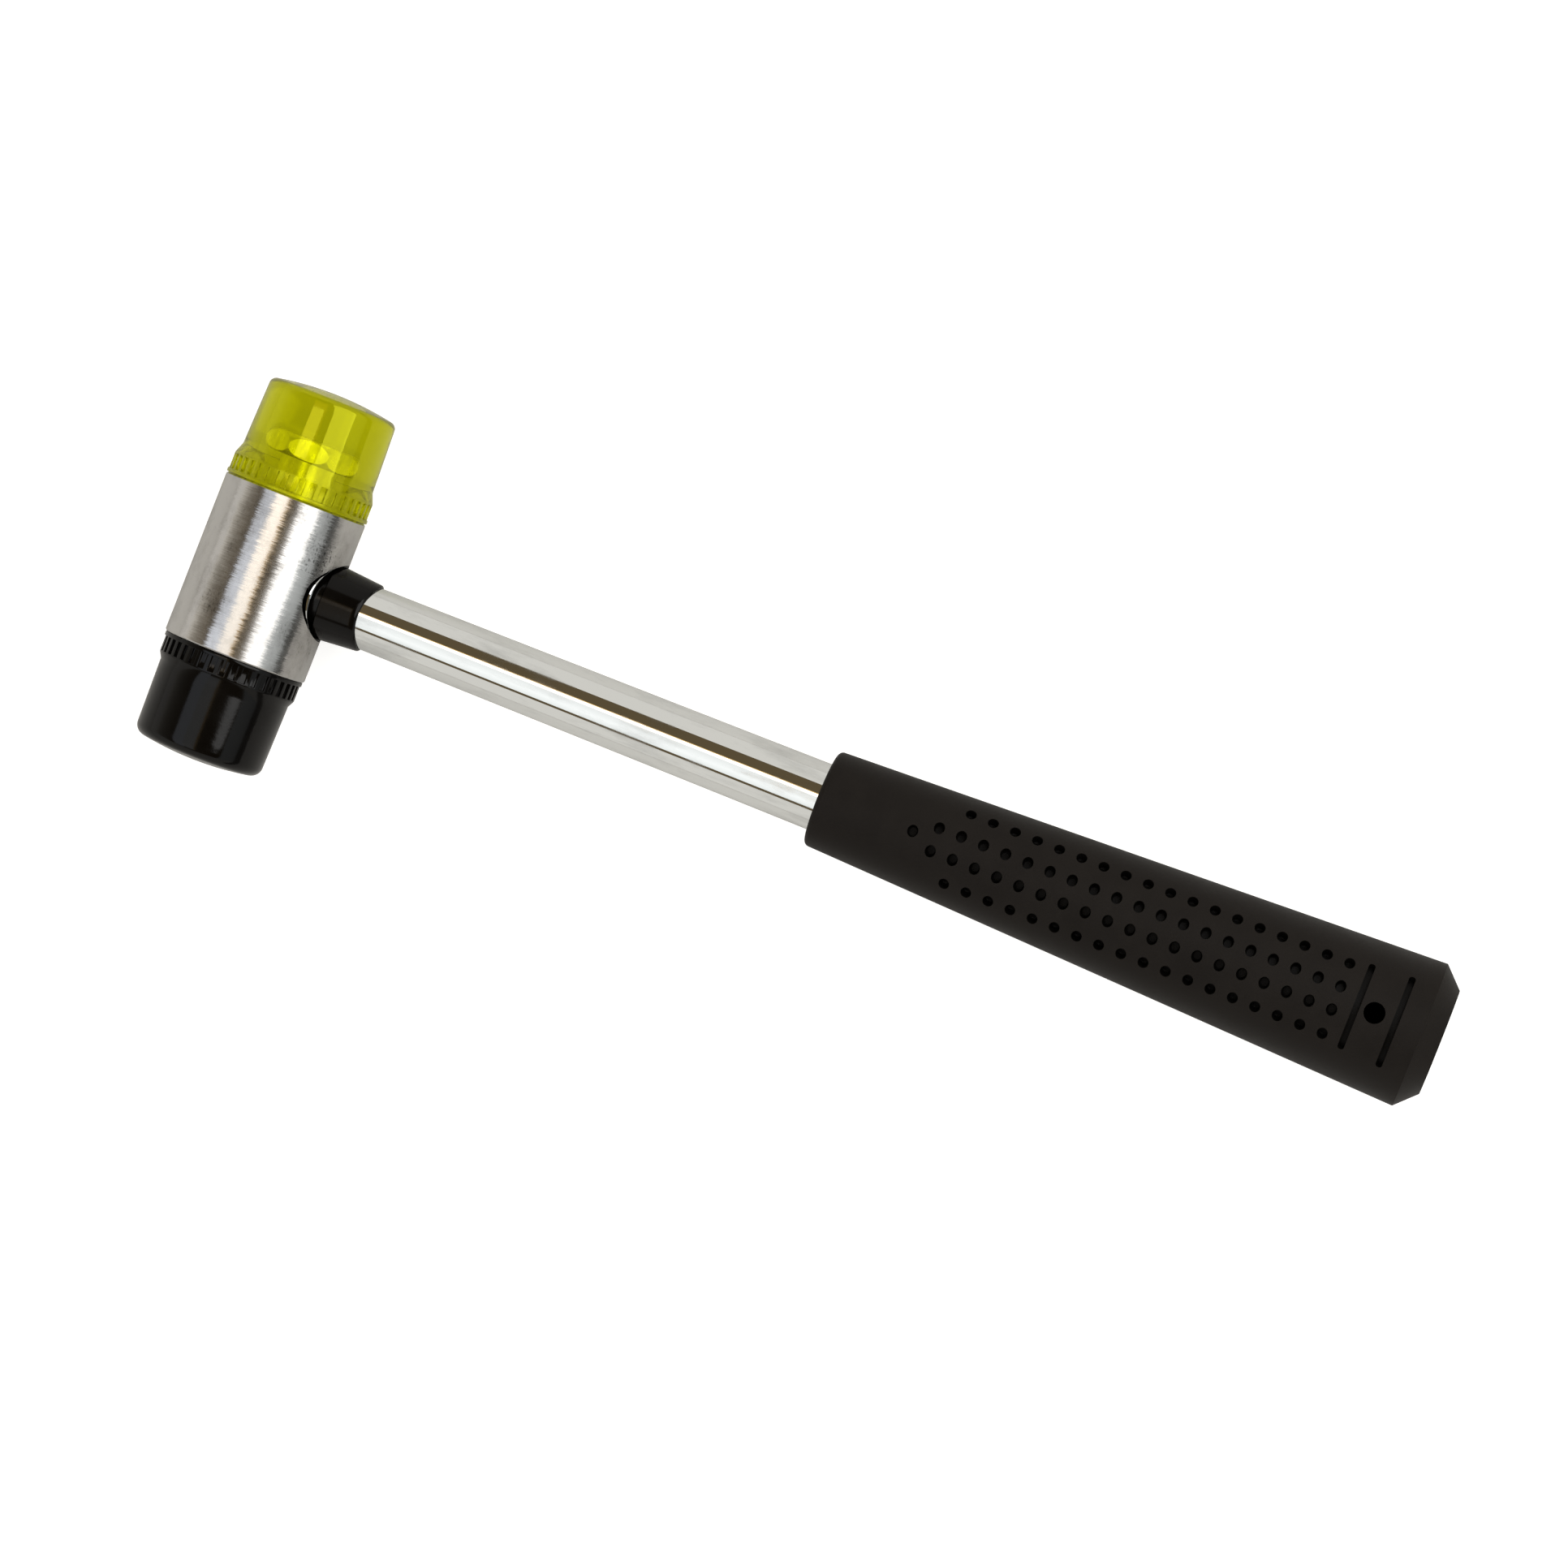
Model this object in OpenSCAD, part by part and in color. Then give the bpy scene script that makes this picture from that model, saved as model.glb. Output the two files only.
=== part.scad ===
// Double-faced soft hammer, lying on its side: a steel barrel with a clear hard face and a black
// rubber face screwed into its ends, on a tubular handle with a rubber grip.
// +X runs along the handle to the butt, +Y to the hard face, +Z up.
// The origin lies under the middle of the hammer, on the surface that it rests on.

/* [Barrel] */
// Diameter of the steel barrel
barrel_d = 30; // [26:0.5:36]
// Length of the steel barrel between the two faces
barrel_length = 34.6; // [28:0.2:44]
// Chamfer round each end of the barrel
barrel_chamfer = 0.4; // [0.2:0.1:1]
// Diameter of the round recess where the handle enters the barrel
recess_d = 18; // [17:0.1:22]
// Depth of the recess below the side of the barrel
recess_depth = 3.3; // [2.5:0.1:4.5]

/* [Both faces] */
// Height of a face from the end of the barrel to its crown
face_height = 22.35; // [20:0.05:30]
// Thickness of the thin flange that lies on the barrel
flange_thickness = 0.85; // [0.5:0.05:1.5]
// Height of the ribbed ring that the fingers turn
ring_height = 3.4; // [2:0.1:4.5]
// Height of the plain band above the gaps between the ribs
ring_band = 0.3; // [0.2:0.1:1]
// Number of ribs round the ring
rib_count = 40; // [24:2:48]
// Depth of the gaps between the ribs
rib_depth = 0.5; // [0.2:0.05:0.8]
// Share of the rib pitch that is gap
rib_gap_share = 0.55; // [0.3:0.05:0.7]

/* [Hard face] */
// How much wider the flange of the hard face is than the barrel
hard_flange_step = 0.2; // [-0.6:0.1:1]
// How much narrower the ribs of the hard face are than its flange
hard_ring_step = 0.5; // [0.2:0.1:1.2]
// Height of the shoulder above the ribs of the hard face
hard_shoulder = 2.2; // [0.8:0.1:3]
// How much narrower the hard face is just above its shoulder than at its ribs
hard_body_step = 1.7; // [1.2:0.1:2.5]
// How much narrower the hard face is at its striking end than above its shoulder
hard_end_step = 0.9; // [0.2:0.1:2]
// Rise of the crowned striking surface of the hard face
hard_crown = 1.4; // [0.4:0.1:3]
// Radius of the rounded rim of the hard face
hard_rim_radius = 1.5; // [0.5:0.1:2.5]

/* [Soft face] */
// How much wider the flange of the soft face is than the barrel
soft_flange_step = -0.5; // [-0.6:0.1:1]
// How much narrower the ribs of the soft face are than its flange
soft_ring_step = 0.6; // [0.2:0.1:1.2]
// Height of the shoulder above the ribs of the soft face
soft_shoulder = 1.3; // [0.8:0.1:3]
// How much narrower the soft face is just above its shoulder than at its ribs
soft_body_step = 1.4; // [1.2:0.1:2.5]
// How much narrower the soft face is at its striking end than above its shoulder
soft_end_step = 0.5; // [0.2:0.1:2]
// Rise of the crowned striking surface of the soft face
soft_crown = 1.4; // [0.4:0.1:3]
// Radius of the rounded rim of the soft face
soft_rim_radius = 2.3; // [0.5:0.1:3]

/* [Face bolts] */
// Outer diameter of the bolt's thread
bolt_d = 8; // [6:0.5:10]
// Gap between a bolt's point and the handle's tube
bolt_tip_gap = 1.85; // [1:0.05:4]
// Width of the bolt's head across its flats
bolt_head_width = 12; // [11:0.5:14]
// Height of the bolt's head
bolt_head_height = 4.7; // [4:0.1:6]
// Height of the underside of the bolt's head above the end of the barrel
bolt_head_seat = 7.1; // [6.4:0.1:8]
// Share of the head's width that its flat round top takes
bolt_top_share = 0.95; // [0.85:0.01:0.98]
// Chamfer at the point of the bolt
bolt_point = 0.9; // [0.4:0.1:1.5]

/* [Handle tube] */
// Diameter of the tube in the head and the collar
tube_d = 13.1; // [11:0.1:13.5]
// Diameter of the tube in the grip
tube_grip_d = 14; // [13.1:0.1:15]
// Wall of the tube
tube_wall = 1.2; // [0.8:0.1:2]
// Reach of the tube past the axis of the head
tube_reach = 8; // [7:0.5:10]
// Length of bare tube between the collar and the grip
tube_bare_length = 98.5; // [60:0.5:160]
// Length of the steel plug driven into the tube's end in the head
plug_length = 20; // [14:0.5:30]

/* [Collar] */
// How far the collar's flat end lies below the side of the barrel, in the recess
collar_sink = 1.4; // [0.5:0.1:2.2]
// Length of the collar along its sides
collar_length = 9.7; // [7:0.1:14]
// Diameter of the collar in the recess
collar_head_d = 15.8; // [15:0.1:16.6]
// Diameter of the collar just before its lip
collar_tube_d = 14.3; // [14:0.1:14.9]
// Length of the sloping lip of the collar
collar_lip = 1.2; // [0.5:0.1:1.5]
// Thickness of the collar at the edge of its lip
collar_lip_wall = 0.3; // [0.2:0.05:0.4]
// Radius of the curve that the collar's tube end follows
collar_curve_radius = 15; // [12:0.5:30]

/* [Grip] */
// Length of the grip
grip_length = 132.1; // [128:0.1:160]
// Diameter of the grip at its front edge
grip_front_d = 20.1; // [19:0.1:22]
// Diameter of the grip where its butt chamfer starts
grip_butt_d = 30.2; // [28:0.1:34]
// Chamfer round the butt
butt_chamfer = 4.1; // [2:0.1:5]
// Radius of the rounded front edge
grip_front_radius = 1.1; // [0.5:0.1:1.6]
// Length of solid rubber behind the end of the tube
butt_solid = 24; // [20:0.5:26]
// How far the grip is turned on the tube, in degrees, its upper side towards the hard face
grip_turn = 4.2; // [-15:0.1:15]

/* [Grip pattern] */
// Distance from the front edge to the first dot
dot_start = 20.3; // [14:0.1:24]
// Number of dot columns along the grip
dot_columns = 20; // [8:1:20]
// Number of dot rows across each side
dot_rows = 4; // [2:2:4]
// Spacing of the dot columns
dot_pitch = 4.72; // [3.5:0.01:4.8]
// Spacing of the dot rows
dot_row_pitch = 4.95; // [3:0.05:5.2]
// Diameter of a dot
dot_d = 2.3; // [1.4:0.1:2.8]
// Depth of a dot
dot_depth = 1.8; // [0.5:0.1:2.2]
// Distance from the butt to the front groove
front_groove_from_butt = 17.8; // [17.4:0.1:18.4]
// Length of the front groove
front_groove_length = 17.9; // [12:0.1:20]
// Distance from the butt to the rear groove
rear_groove_from_butt = 9.6; // [8.6:0.1:10]
// Length of the rear groove
rear_groove_length = 19; // [12:0.1:20]
// Width of both grooves
groove_width = 1.35; // [0.8:0.05:1.6]
// Depth of both grooves
groove_depth = 1; // [0.4:0.1:1.6]
// Distance from the butt to the hang hole
hang_hole_from_butt = 14.1; // [13.6:0.1:14.4]
// Diameter of the hang hole
hang_hole_d = 4.3; // [3:0.1:4.6]

/* [Fits] */
// Radial clearance of pieces that are driven or moulded together
press_clearance = 0.02; // [0.01:0.01:0.05]
// Radial clearance of the bolts in the tapped hole
thread_clearance = 0.05; // [0.02:0.01:0.1]

/* [Hidden] */
$fn = 96;
// Extra length of every cut past the faces that it opens
overrun = 2;
// Steps of each rounded edge and crown
arc_steps = 8;
// Half the angle of a hexagon's side, and the slope of the chamfer on a hex head
hex_slope = 30;

barrel_r = barrel_d / 2;
tube_r = tube_d / 2;
tube_grip_r = tube_grip_d / 2;

// Diameters of the faces, stepping down from the barrel to the striking end
hard_flange_d = barrel_d + hard_flange_step;
hard_ring_d = hard_flange_d - hard_ring_step;
hard_body_d = hard_ring_d - hard_body_step;
hard_end_d = hard_body_d - hard_end_step;
soft_flange_d = barrel_d + soft_flange_step;
soft_ring_d = soft_flange_d - soft_ring_step;
soft_body_d = soft_ring_d - soft_body_step;
soft_end_d = soft_body_d - soft_end_step;

// Length of a bolt below its head: each reaches into the barrel, short of the tube
bolt_length = bolt_head_seat + barrel_length / 2 - tube_r - bolt_tip_gap;

// Places along the handle, from the axis of the head
collar_start = barrel_r - collar_sink;
collar_end = collar_start + collar_length;
grip_front = collar_end + tube_bare_length;
butt = grip_front + grip_length;
tube_end = butt - butt_solid;
chamfer_start = butt - butt_chamfer;

// Widest radius of the head, and the height of the axes when the hammer rests on its widest piece
head_r = max(barrel_d, hard_flange_d, soft_flange_d) / 2;
rest_height = max(head_r, grip_butt_d / 2);
// Head axis to the middle of the hammer's whole length
middle = (butt - head_r) / 2;

// Heights on a face, from the end of the barrel
ring_top = flange_thickness + ring_height;

// Grip surface
grip_front_r = grip_front_d / 2;
grip_butt_r = grip_butt_d / 2;
grip_slope = (grip_butt_r - grip_front_r) / (chamfer_start - grip_front);

// Points along an arc of an outline, after its first one
function arc(centre, radius, from, to) = [
    for (step = [1 : arc_steps])
        let (turn = from + (to - from) * step / arc_steps)
            centre + radius * [cos(turn), sin(turn)]
];

// Radius of the grip's cone at a place along the handle
function grip_r(place) = grip_front_r + grip_slope * (place - grip_front);

// Dot cells as column and row: one dot leads, then two rows, then all rows
function dot_cells() = concat(
    [[0, 0]],
    [
        for (row = [(1 - dot_rows) / 2 : 1 : (dot_rows - 1) / 2])
            for (column = [abs(row) + 0.5 : dot_columns - 1])
                [column, row]
    ]
);

// Puts the head's axis and the handle's axis in the hammer's frame
module in_hammer() {
    translate([-middle, 0, rest_height]) children();
}

// Turns a shape that stands on +Z to lie along the handle
module along_handle() {
    rotate([0, 90, 0]) children();
}

// Turns a shape that stands on +Z to stand on the barrel's end, on the +Y side or the -Y side
module on_barrel_end(side) {
    translate([0, side * barrel_length / 2, 0]) rotate([-90 * side, 0, 0]) children();
}

// A round bar across the hammer, along the head's axis
module head_axis_bar(radius, length) {
    rotate([90, 0, 0]) cylinder(r = radius, h = length, center = true);
}

// Hex bolt standing on +Z, its head's underside at the seat height above the barrel, grown all round
module hex_bolt(grow = 0) {
    shank_r = bolt_d / 2 + grow;
    flat_r = bolt_head_width / 2 + grow;
    tip = bolt_head_seat - bolt_length - grow;
    height = bolt_head_height + 2 * grow;
    top_r = flat_r * bolt_top_share;
    translate([0, 0, tip]) cylinder(r1 = shank_r - bolt_point, r2 = shank_r, h = bolt_point);
    translate([0, 0, tip + bolt_point]) cylinder(r = shank_r, h = bolt_length - bolt_point + grow);
    // The corners of the head fall away from its flat round top
    translate([0, 0, bolt_head_seat - grow]) intersection() {
        cylinder(r = flat_r / cos(hex_slope), h = height, $fn = 6);
        cylinder(r1 = top_r + height / tan(hex_slope), r2 = top_r, h = height);
    }
}

// Half outline of a face, as radius and height above the barrel: the rim's arc runs into the crown's
module face_outline(flange_d, ring_d, shoulder, body_d, end_d, crown, rim_radius) {
    end_r = end_d / 2;
    rim_inset = end_r - rim_radius;
    crown_radius = (end_r * end_r + crown * crown) / (2 * crown);
    crown_centre = face_height - crown_radius;
    inner_radius = crown_radius - rim_radius;
    rim_height = crown_centre + sqrt(inner_radius * inner_radius - rim_inset * rim_inset);
    join = atan2(rim_height - crown_centre, rim_inset);
    polygon(concat(
        [
            [0, 0],
            [flange_d / 2, 0],
            [flange_d / 2, flange_thickness],
            [ring_d / 2, flange_thickness],
            [ring_d / 2, ring_top],
            [body_d / 2, ring_top + shoulder],
            [end_r, rim_height]
        ],
        arc([rim_inset, rim_height], rim_radius, 0, join),
        arc([0, crown_centre], crown_radius, join, 90)
    ));
}

// Screw-in face: turned form, ribs cut round its ring, and the pocket moulded round its bolt
module screw_face(flange_d, ring_d, shoulder, body_d, end_d, crown, rim_radius) {
    rib_pitch = 360 / rib_count;
    gap_width = PI * ring_d / rib_count * rib_gap_share;
    difference() {
        rotate_extrude() face_outline(flange_d, ring_d, shoulder, body_d, end_d, crown, rim_radius);
        for (rib = [0 : rib_count - 1])
            rotate([0, 0, (rib + 0.5) * rib_pitch])
                translate([ring_d / 2 - rib_depth, -gap_width / 2, flange_thickness])
                    cube([rib_depth + overrun, gap_width, ring_height - ring_band]);
        hex_bolt(press_clearance);
    }
}

// Outline of the tube's wall, as radius and place along the handle
module tube_outline() {
    polygon([
        [tube_r - tube_wall, -tube_reach],
        [tube_r, -tube_reach],
        [tube_r, collar_end],
        [tube_grip_r, grip_front],
        [tube_grip_r, tube_end],
        [tube_grip_r - tube_wall, tube_end],
        [tube_grip_r - tube_wall, grip_front],
        [tube_r - tube_wall, collar_end]
    ]);
}

// Outline of the collar before its lip is curved, as radius and place along the handle
module collar_outline() {
    bore_r = tube_r + press_clearance;
    polygon([
        [bore_r, collar_start],
        [collar_head_d / 2, collar_start],
        [collar_tube_d / 2, collar_end - collar_lip],
        [tube_r + collar_lip_wall, collar_end],
        [bore_r, collar_end]
    ]);
}

// Outline of the whole grip, as radius and place along the handle
module grip_outline() {
    round_r = grip_front_r + (grip_slope - sqrt(1 + grip_slope * grip_slope)) * grip_front_radius;
    polygon(concat(
        [
            [0, grip_front],
            [round_r, grip_front]
        ],
        arc([round_r, grip_front + grip_front_radius], grip_front_radius, -90, -atan(grip_slope)),
        [
            [grip_butt_r, chamfer_start],
            [grip_butt_r - butt_chamfer, butt],
            [0, butt]
        ]
    ));
}

// Blind dots on the upper side of the grip, each sunk straight towards the handle's axis
module grip_dots() {
    for (cell = dot_cells()) {
        place = grip_front + dot_start + cell[0] * dot_pitch;
        lean = asin(cell[1] * dot_row_pitch / grip_r(place));
        rotate([-lean, 0, 0]) translate([place, 0, grip_r(place) - dot_depth])
            cylinder(d = dot_d, h = dot_depth + overrun, $fn = 24);
    }
}

// Groove with round ends across the upper side of the grip, at the same depth all along
module grip_groove(from_butt, length) {
    place = butt - from_butt;
    half_width = groove_width / 2;
    straight = length - groove_width;
    intersection() {
        linear_extrude(grip_butt_d) {
            translate([place - half_width, -straight / 2]) square([groove_width, straight]);
            for (side = [-1, 1])
                translate([place, side * straight / 2]) circle(r = half_width, $fn = 32);
        }
        translate([place - groove_width, 0, 0]) along_handle() difference() {
            cylinder(r = grip_butt_d, h = 2 * groove_width);
            translate([0, 0, -groove_width]) cylinder(
                r1 = grip_r(place - 2 * groove_width) - groove_depth,
                r2 = grip_r(place + 2 * groove_width) - groove_depth,
                h = 4 * groove_width
            );
        }
    }
}

// Turned steel barrel, drilled and tapped through its length, with a blind socket for the tube
// and a recess round its mouth
module head_barrel() {
    color("silver") in_hammer() difference() {
        head_axis_bar(barrel_r, barrel_length);
        head_axis_bar(bolt_d / 2 + thread_clearance, barrel_length + overrun);
        translate([-tube_reach, 0, 0]) along_handle()
            cylinder(r = tube_r + press_clearance, h = tube_reach + barrel_d);
        translate([barrel_r - recess_depth, 0, 0]) along_handle()
            cylinder(d = recess_d, h = recess_depth + overrun);
        for (side = [-1, 1])
            on_barrel_end(side) rotate_extrude() polygon([
                [barrel_r - barrel_chamfer, 0],
                [barrel_r + overrun, 0],
                [barrel_r + overrun, -barrel_chamfer - overrun],
                [barrel_r, -barrel_chamfer]
            ]);
    }
}

module hard_face() {
    color("yellowgreen", 0.7) in_hammer() on_barrel_end(1)
        screw_face(
            hard_flange_d, hard_ring_d, hard_shoulder, hard_body_d, hard_end_d, hard_crown, hard_rim_radius
        );
}

module hard_face_bolt() {
    color("gainsboro") in_hammer() on_barrel_end(1) hex_bolt();
}

module soft_face() {
    color("#202022") in_hammer() on_barrel_end(-1)
        screw_face(
            soft_flange_d, soft_ring_d, soft_shoulder, soft_body_d, soft_end_d, soft_crown, soft_rim_radius
        );
}

module soft_face_bolt() {
    color("gainsboro") in_hammer() on_barrel_end(-1) hex_bolt();
}

// Chromed tube, a little wider towards the grip
module handle_tube() {
    color("lightgray") in_hammer() along_handle() rotate_extrude() tube_outline();
}

// Steel plug that keeps the tube's end tight in the socket
module tube_plug() {
    color("dimgray") in_hammer() translate([-tube_reach, 0, 0]) along_handle()
        cylinder(r = tube_r - tube_wall - press_clearance, h = plug_length);
}

// Plastic ferrule with a flat end in the recess and a lip that is curved like the barrel
module handle_collar() {
    color("#1c1c20") in_hammer() intersection() {
        along_handle() rotate_extrude() collar_outline();
        translate([collar_end - collar_curve_radius, 0, 0])
            head_axis_bar(collar_curve_radius, collar_head_d + overrun);
    }
}

// Moulded rubber grip: dots and grooves on both sides, and a hole to hang it by
module grip() {
    color("#2a2a2c") in_hammer() difference() {
        along_handle() rotate_extrude() grip_outline();
        translate([grip_front - overrun, 0, 0]) along_handle()
            cylinder(r = tube_grip_r + press_clearance, h = tube_end - grip_front + overrun);
        rotate([-grip_turn, 0, 0]) {
            translate([butt - hang_hole_from_butt, 0, 0])
                cylinder(d = hang_hole_d, h = 2 * grip_butt_d, center = true);
            for (side = [0, 1])
                mirror([0, 0, side]) {
                    grip_dots();
                    grip_groove(front_groove_from_butt, front_groove_length);
                    grip_groove(rear_groove_from_butt, rear_groove_length);
                }
        }
    }
}

head_barrel();
hard_face();
hard_face_bolt();
soft_face();
soft_face_bolt();
handle_tube();
tube_plug();
handle_collar();
grip();
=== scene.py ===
"""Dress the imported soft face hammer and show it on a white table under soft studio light.

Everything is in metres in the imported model's frame: +X along the handle to the butt, +Y along the
head to the hard face, +Z up. The sizes of the pieces are written in millimetres, measured from the
point where the head's axis crosses the handle's axis. The studio's sizes are written in metres.
"""

import logging
import math
from dataclasses import dataclass
from enum import Enum, IntEnum
from typing import Any, Sequence

import bmesh
import bpy
from mathutils import Matrix, Vector


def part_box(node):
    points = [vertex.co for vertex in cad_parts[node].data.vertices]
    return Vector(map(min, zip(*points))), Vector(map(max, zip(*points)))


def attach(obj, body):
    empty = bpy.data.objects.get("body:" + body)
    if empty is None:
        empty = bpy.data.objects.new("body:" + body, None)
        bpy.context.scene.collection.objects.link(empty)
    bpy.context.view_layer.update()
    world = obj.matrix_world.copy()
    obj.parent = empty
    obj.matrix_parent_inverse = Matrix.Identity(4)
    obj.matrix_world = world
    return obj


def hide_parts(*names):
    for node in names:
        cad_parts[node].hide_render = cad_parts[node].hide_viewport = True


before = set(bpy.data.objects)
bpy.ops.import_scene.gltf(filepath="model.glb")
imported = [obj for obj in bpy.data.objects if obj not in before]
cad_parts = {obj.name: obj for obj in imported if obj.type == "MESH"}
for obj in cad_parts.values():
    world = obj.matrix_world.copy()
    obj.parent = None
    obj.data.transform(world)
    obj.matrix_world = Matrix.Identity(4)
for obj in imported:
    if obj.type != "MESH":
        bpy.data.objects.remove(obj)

LOG = logging.getLogger("soft_face_hammer")
MM = 0.001
WELD = 1e-7
SHARP_ANGLE = math.radians(28.0)
QUARTER_TURN = math.pi / 2
HEX_SIDES = 6

# Sizes that several pieces share, in millimetres
BARREL_LENGTH = 34.6
TUBE_RADIUS = 6.55
TUBE_GRIP_RADIUS = 7.0
TUBE_REACH = 8.0
TUBE_END = 229.9
GRIP_FRONT = 121.8
PUSH_FIT = 0.02

Pair = tuple[float, float]
Point = tuple[float, float, float]
Colour = tuple[float, float, float]
Outline = Sequence[Pair]
Shape = bmesh.types.BMesh
Socket = bpy.types.NodeSocket
Tint = Colour | Socket


class Side(Enum):
    """Which end of the barrel a face is screwed into."""

    HARD = 1
    SOFT = -1


class Body(Enum):
    """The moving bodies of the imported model."""

    HAMMER = "hammer"
    HARD_FACE = "hard_face_unit"
    SOFT_FACE = "soft_face_unit"


class Cut(Enum):
    """What a cutting shape does to another shape."""

    AWAY = "DIFFERENCE"
    TRIM = "INTERSECT"


class Reckoning(Enum):
    """How two values of a material become one."""

    PRODUCT = "MULTIPLY"
    LARGER = "MAXIMUM"


class Axis(IntEnum):
    """The axes that a finish or a card changes along."""

    X = 0
    Y = 1


class BarrelFinish(IntEnum):
    """Places of the barrel's further finishes, after its steel: painted shade in its recess, then its chrome
    bead.
    """

    RECESS_PAINTED_SHADE = 1
    BEAD = 2


class GripFinish(IntEnum):
    """Places of the grip's further finishes, after its plain rubber: painted shade in its hollows."""

    HOLLOW = 1


def axes_crossing() -> Vector:
    """Return the point where the head's axis crosses the handle's axis, in metres."""
    low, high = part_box("head_barrel")
    return (low + high) / 2


def along_handle() -> Matrix:
    """Return the matrix that lays a shape standing on +Z along the handle."""
    return Matrix.Translation(axes_crossing()) @ Matrix.Rotation(QUARTER_TURN, 4, "Y")


def on_barrel_end(side: Side, height: float) -> Matrix:
    """Return the matrix that stands a shape on one end of the barrel.

    Args:
        side: The end of the barrel.
        height: Height of the shape's foot from the middle of the barrel, in millimetres.

    Returns:
        The matrix from the shape's own frame to the hammer's.
    """
    start = axes_crossing() + Vector((0.0, side.value * height * MM, 0.0))
    return Matrix.Translation(start) @ Matrix.Rotation(-side.value * QUARTER_TURN, 4, "X")


def arc(centre: Pair, radius: float, start: float, end: float, steps: int) -> list[Pair]:
    """Return points along an arc of an outline, after its first one.

    Args:
        centre: The arc's centre, as radius and height.
        radius: The arc's radius.
        start: Its first angle in degrees, from the outward direction.
        end: Its last angle in degrees.
        steps: How many points to give.

    Returns:
        The points as (radius, height) pairs.
    """
    turns = [math.radians(start + (end - start) * step / steps) for step in range(1, steps + 1)]
    return [(centre[0] + radius * math.cos(turn), centre[1] + radius * math.sin(turn)) for turn in turns]


def straight(start: Pair, end: Pair, steps: int) -> list[Pair]:
    """Return points along a straight stretch of an outline, after its first one.

    Args:
        start: The stretch's first point, which isn't returned.
        end: Its last point.
        steps: How many points to give.

    Returns:
        The points as (radius, height) pairs.
    """
    shares = [step / steps for step in range(1, steps + 1)]
    return [tuple(a + (b - a) * share for a, b in zip(start, end)) for share in shares]


def spin(
    shape: Shape, geom: Sequence[Any], angle: float, steps: int, rise: float = 0.0, merge: bool = False
) -> None:
    """Spin geometry of a shape round +Z.

    Args:
        shape: The shape that grows.
        geom: Its vertices, edges and faces that are spun.
        angle: How far they turn, in radians.
        steps: Number of steps.
        rise: How far each step climbs, in metres.
        merge: True for a full turn, whose end joins its start.
    """
    bmesh.ops.spin(
        shape,
        geom=geom,
        cent=(0.0, 0.0, 0.0),
        axis=(0.0, 0.0, 1.0),
        dvec=(0.0, 0.0, rise),
        angle=angle,
        steps=steps,
        use_merge=merge,
    )


def lathe(outline: Outline, steps: int, closed: bool = False) -> Shape:
    """Spin an outline once round +Z.

    Args:
        outline: (radius, height) points in millimetres.
        steps: Number of steps round the axis.
        closed: True where the last point joins the first, as for a ring.

    Returns:
        The turned solid.
    """
    turned = bmesh.new()
    verts = [turned.verts.new((radius * MM, 0.0, height * MM)) for radius, height in outline]
    pairs = list(zip(verts, verts[1:]))
    if closed:
        pairs.append((verts[-1], verts[0]))
    edges = [turned.edges.new(pair) for pair in pairs]
    spin(turned, verts + edges, math.tau, steps, merge=True)
    close_up(turned)
    return turned


def close_up(shape: Shape) -> None:
    """Merge doubled vertices and turn every face outwards."""
    bmesh.ops.remove_doubles(shape, verts=shape.verts, dist=WELD)
    bmesh.ops.recalc_face_normals(shape, faces=shape.faces)


def round_edges(
    shape: Shape, edges: Sequence[bmesh.types.BMEdge], width: float, segments: int, clamp: bool
) -> None:
    """Bevel edges of a shape.

    Args:
        shape: The shape to bevel.
        edges: Its edges that are rounded.
        width: Width of the bevel in millimetres.
        segments: Segments across the bevel.
        clamp: True where the bevel stops short of its neighbours.
    """
    bmesh.ops.bevel(
        shape,
        geom=edges,
        offset=width * MM,
        offset_type="OFFSET",
        affect="EDGES",
        segments=segments,
        profile=0.5,
        material=-1,
        clamp_overlap=clamp,
    )
    close_up(shape)


def add_copy(target: Shape, shape: Shape, place: Matrix) -> None:
    """Add a placed copy of one shape to another.

    Args:
        target: The shape that grows.
        shape: The shape that is copied.
        place: Where the copy goes.
    """
    holder = bpy.data.meshes.new("copy")
    shape.to_mesh(holder)
    holder.transform(place)
    target.from_mesh(holder)
    bpy.data.meshes.remove(holder)


def put_in_scene(name: str, data: bpy.types.ID) -> bpy.types.Object:
    """Make an object of a mesh, a lamp or a camera.

    Args:
        name: The object's name.
        data: Its mesh, lamp or camera.

    Returns:
        The new object.
    """
    made = bpy.data.objects.new(name, data)
    bpy.context.scene.collection.objects.link(made)
    return made


def new_object(name: str, shape: Shape, *materials: bpy.types.Material) -> bpy.types.Object:
    """Turn a shape into an object of the scene.

    Args:
        name: The object's name.
        shape: Its shape, which is freed.
        materials: Its materials.

    Returns:
        The new object.
    """
    data = bpy.data.meshes.new(name)
    shape.to_mesh(data)
    shape.free()
    for material in materials:
        data.materials.append(material)
    return put_in_scene(name, data)


def combine(base: Shape, tool: Shape, cut: Cut) -> Shape:
    """Cut or trim one closed shape with another.

    Args:
        base: The shape that is worked on, which is freed.
        tool: The cutting shape, which is freed.
        cut: What the cutting shape does.

    Returns:
        The resulting shape.
    """
    worked = new_object("base", base)
    cutter = new_object("tool", tool)
    modifier = worked.modifiers.new("combine", "BOOLEAN")
    modifier.operation = cut.value
    modifier.solver = "EXACT"
    modifier.object = cutter
    depsgraph = bpy.context.evaluated_depsgraph_get()
    result = bmesh.new()
    result.from_mesh(worked.evaluated_get(depsgraph).to_mesh())
    for holder in (worked, cutter):
        data = holder.data
        bpy.data.objects.remove(holder)
        bpy.data.meshes.remove(data)
    bmesh.ops.remove_doubles(result, verts=result.verts, dist=WELD)
    return result


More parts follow.
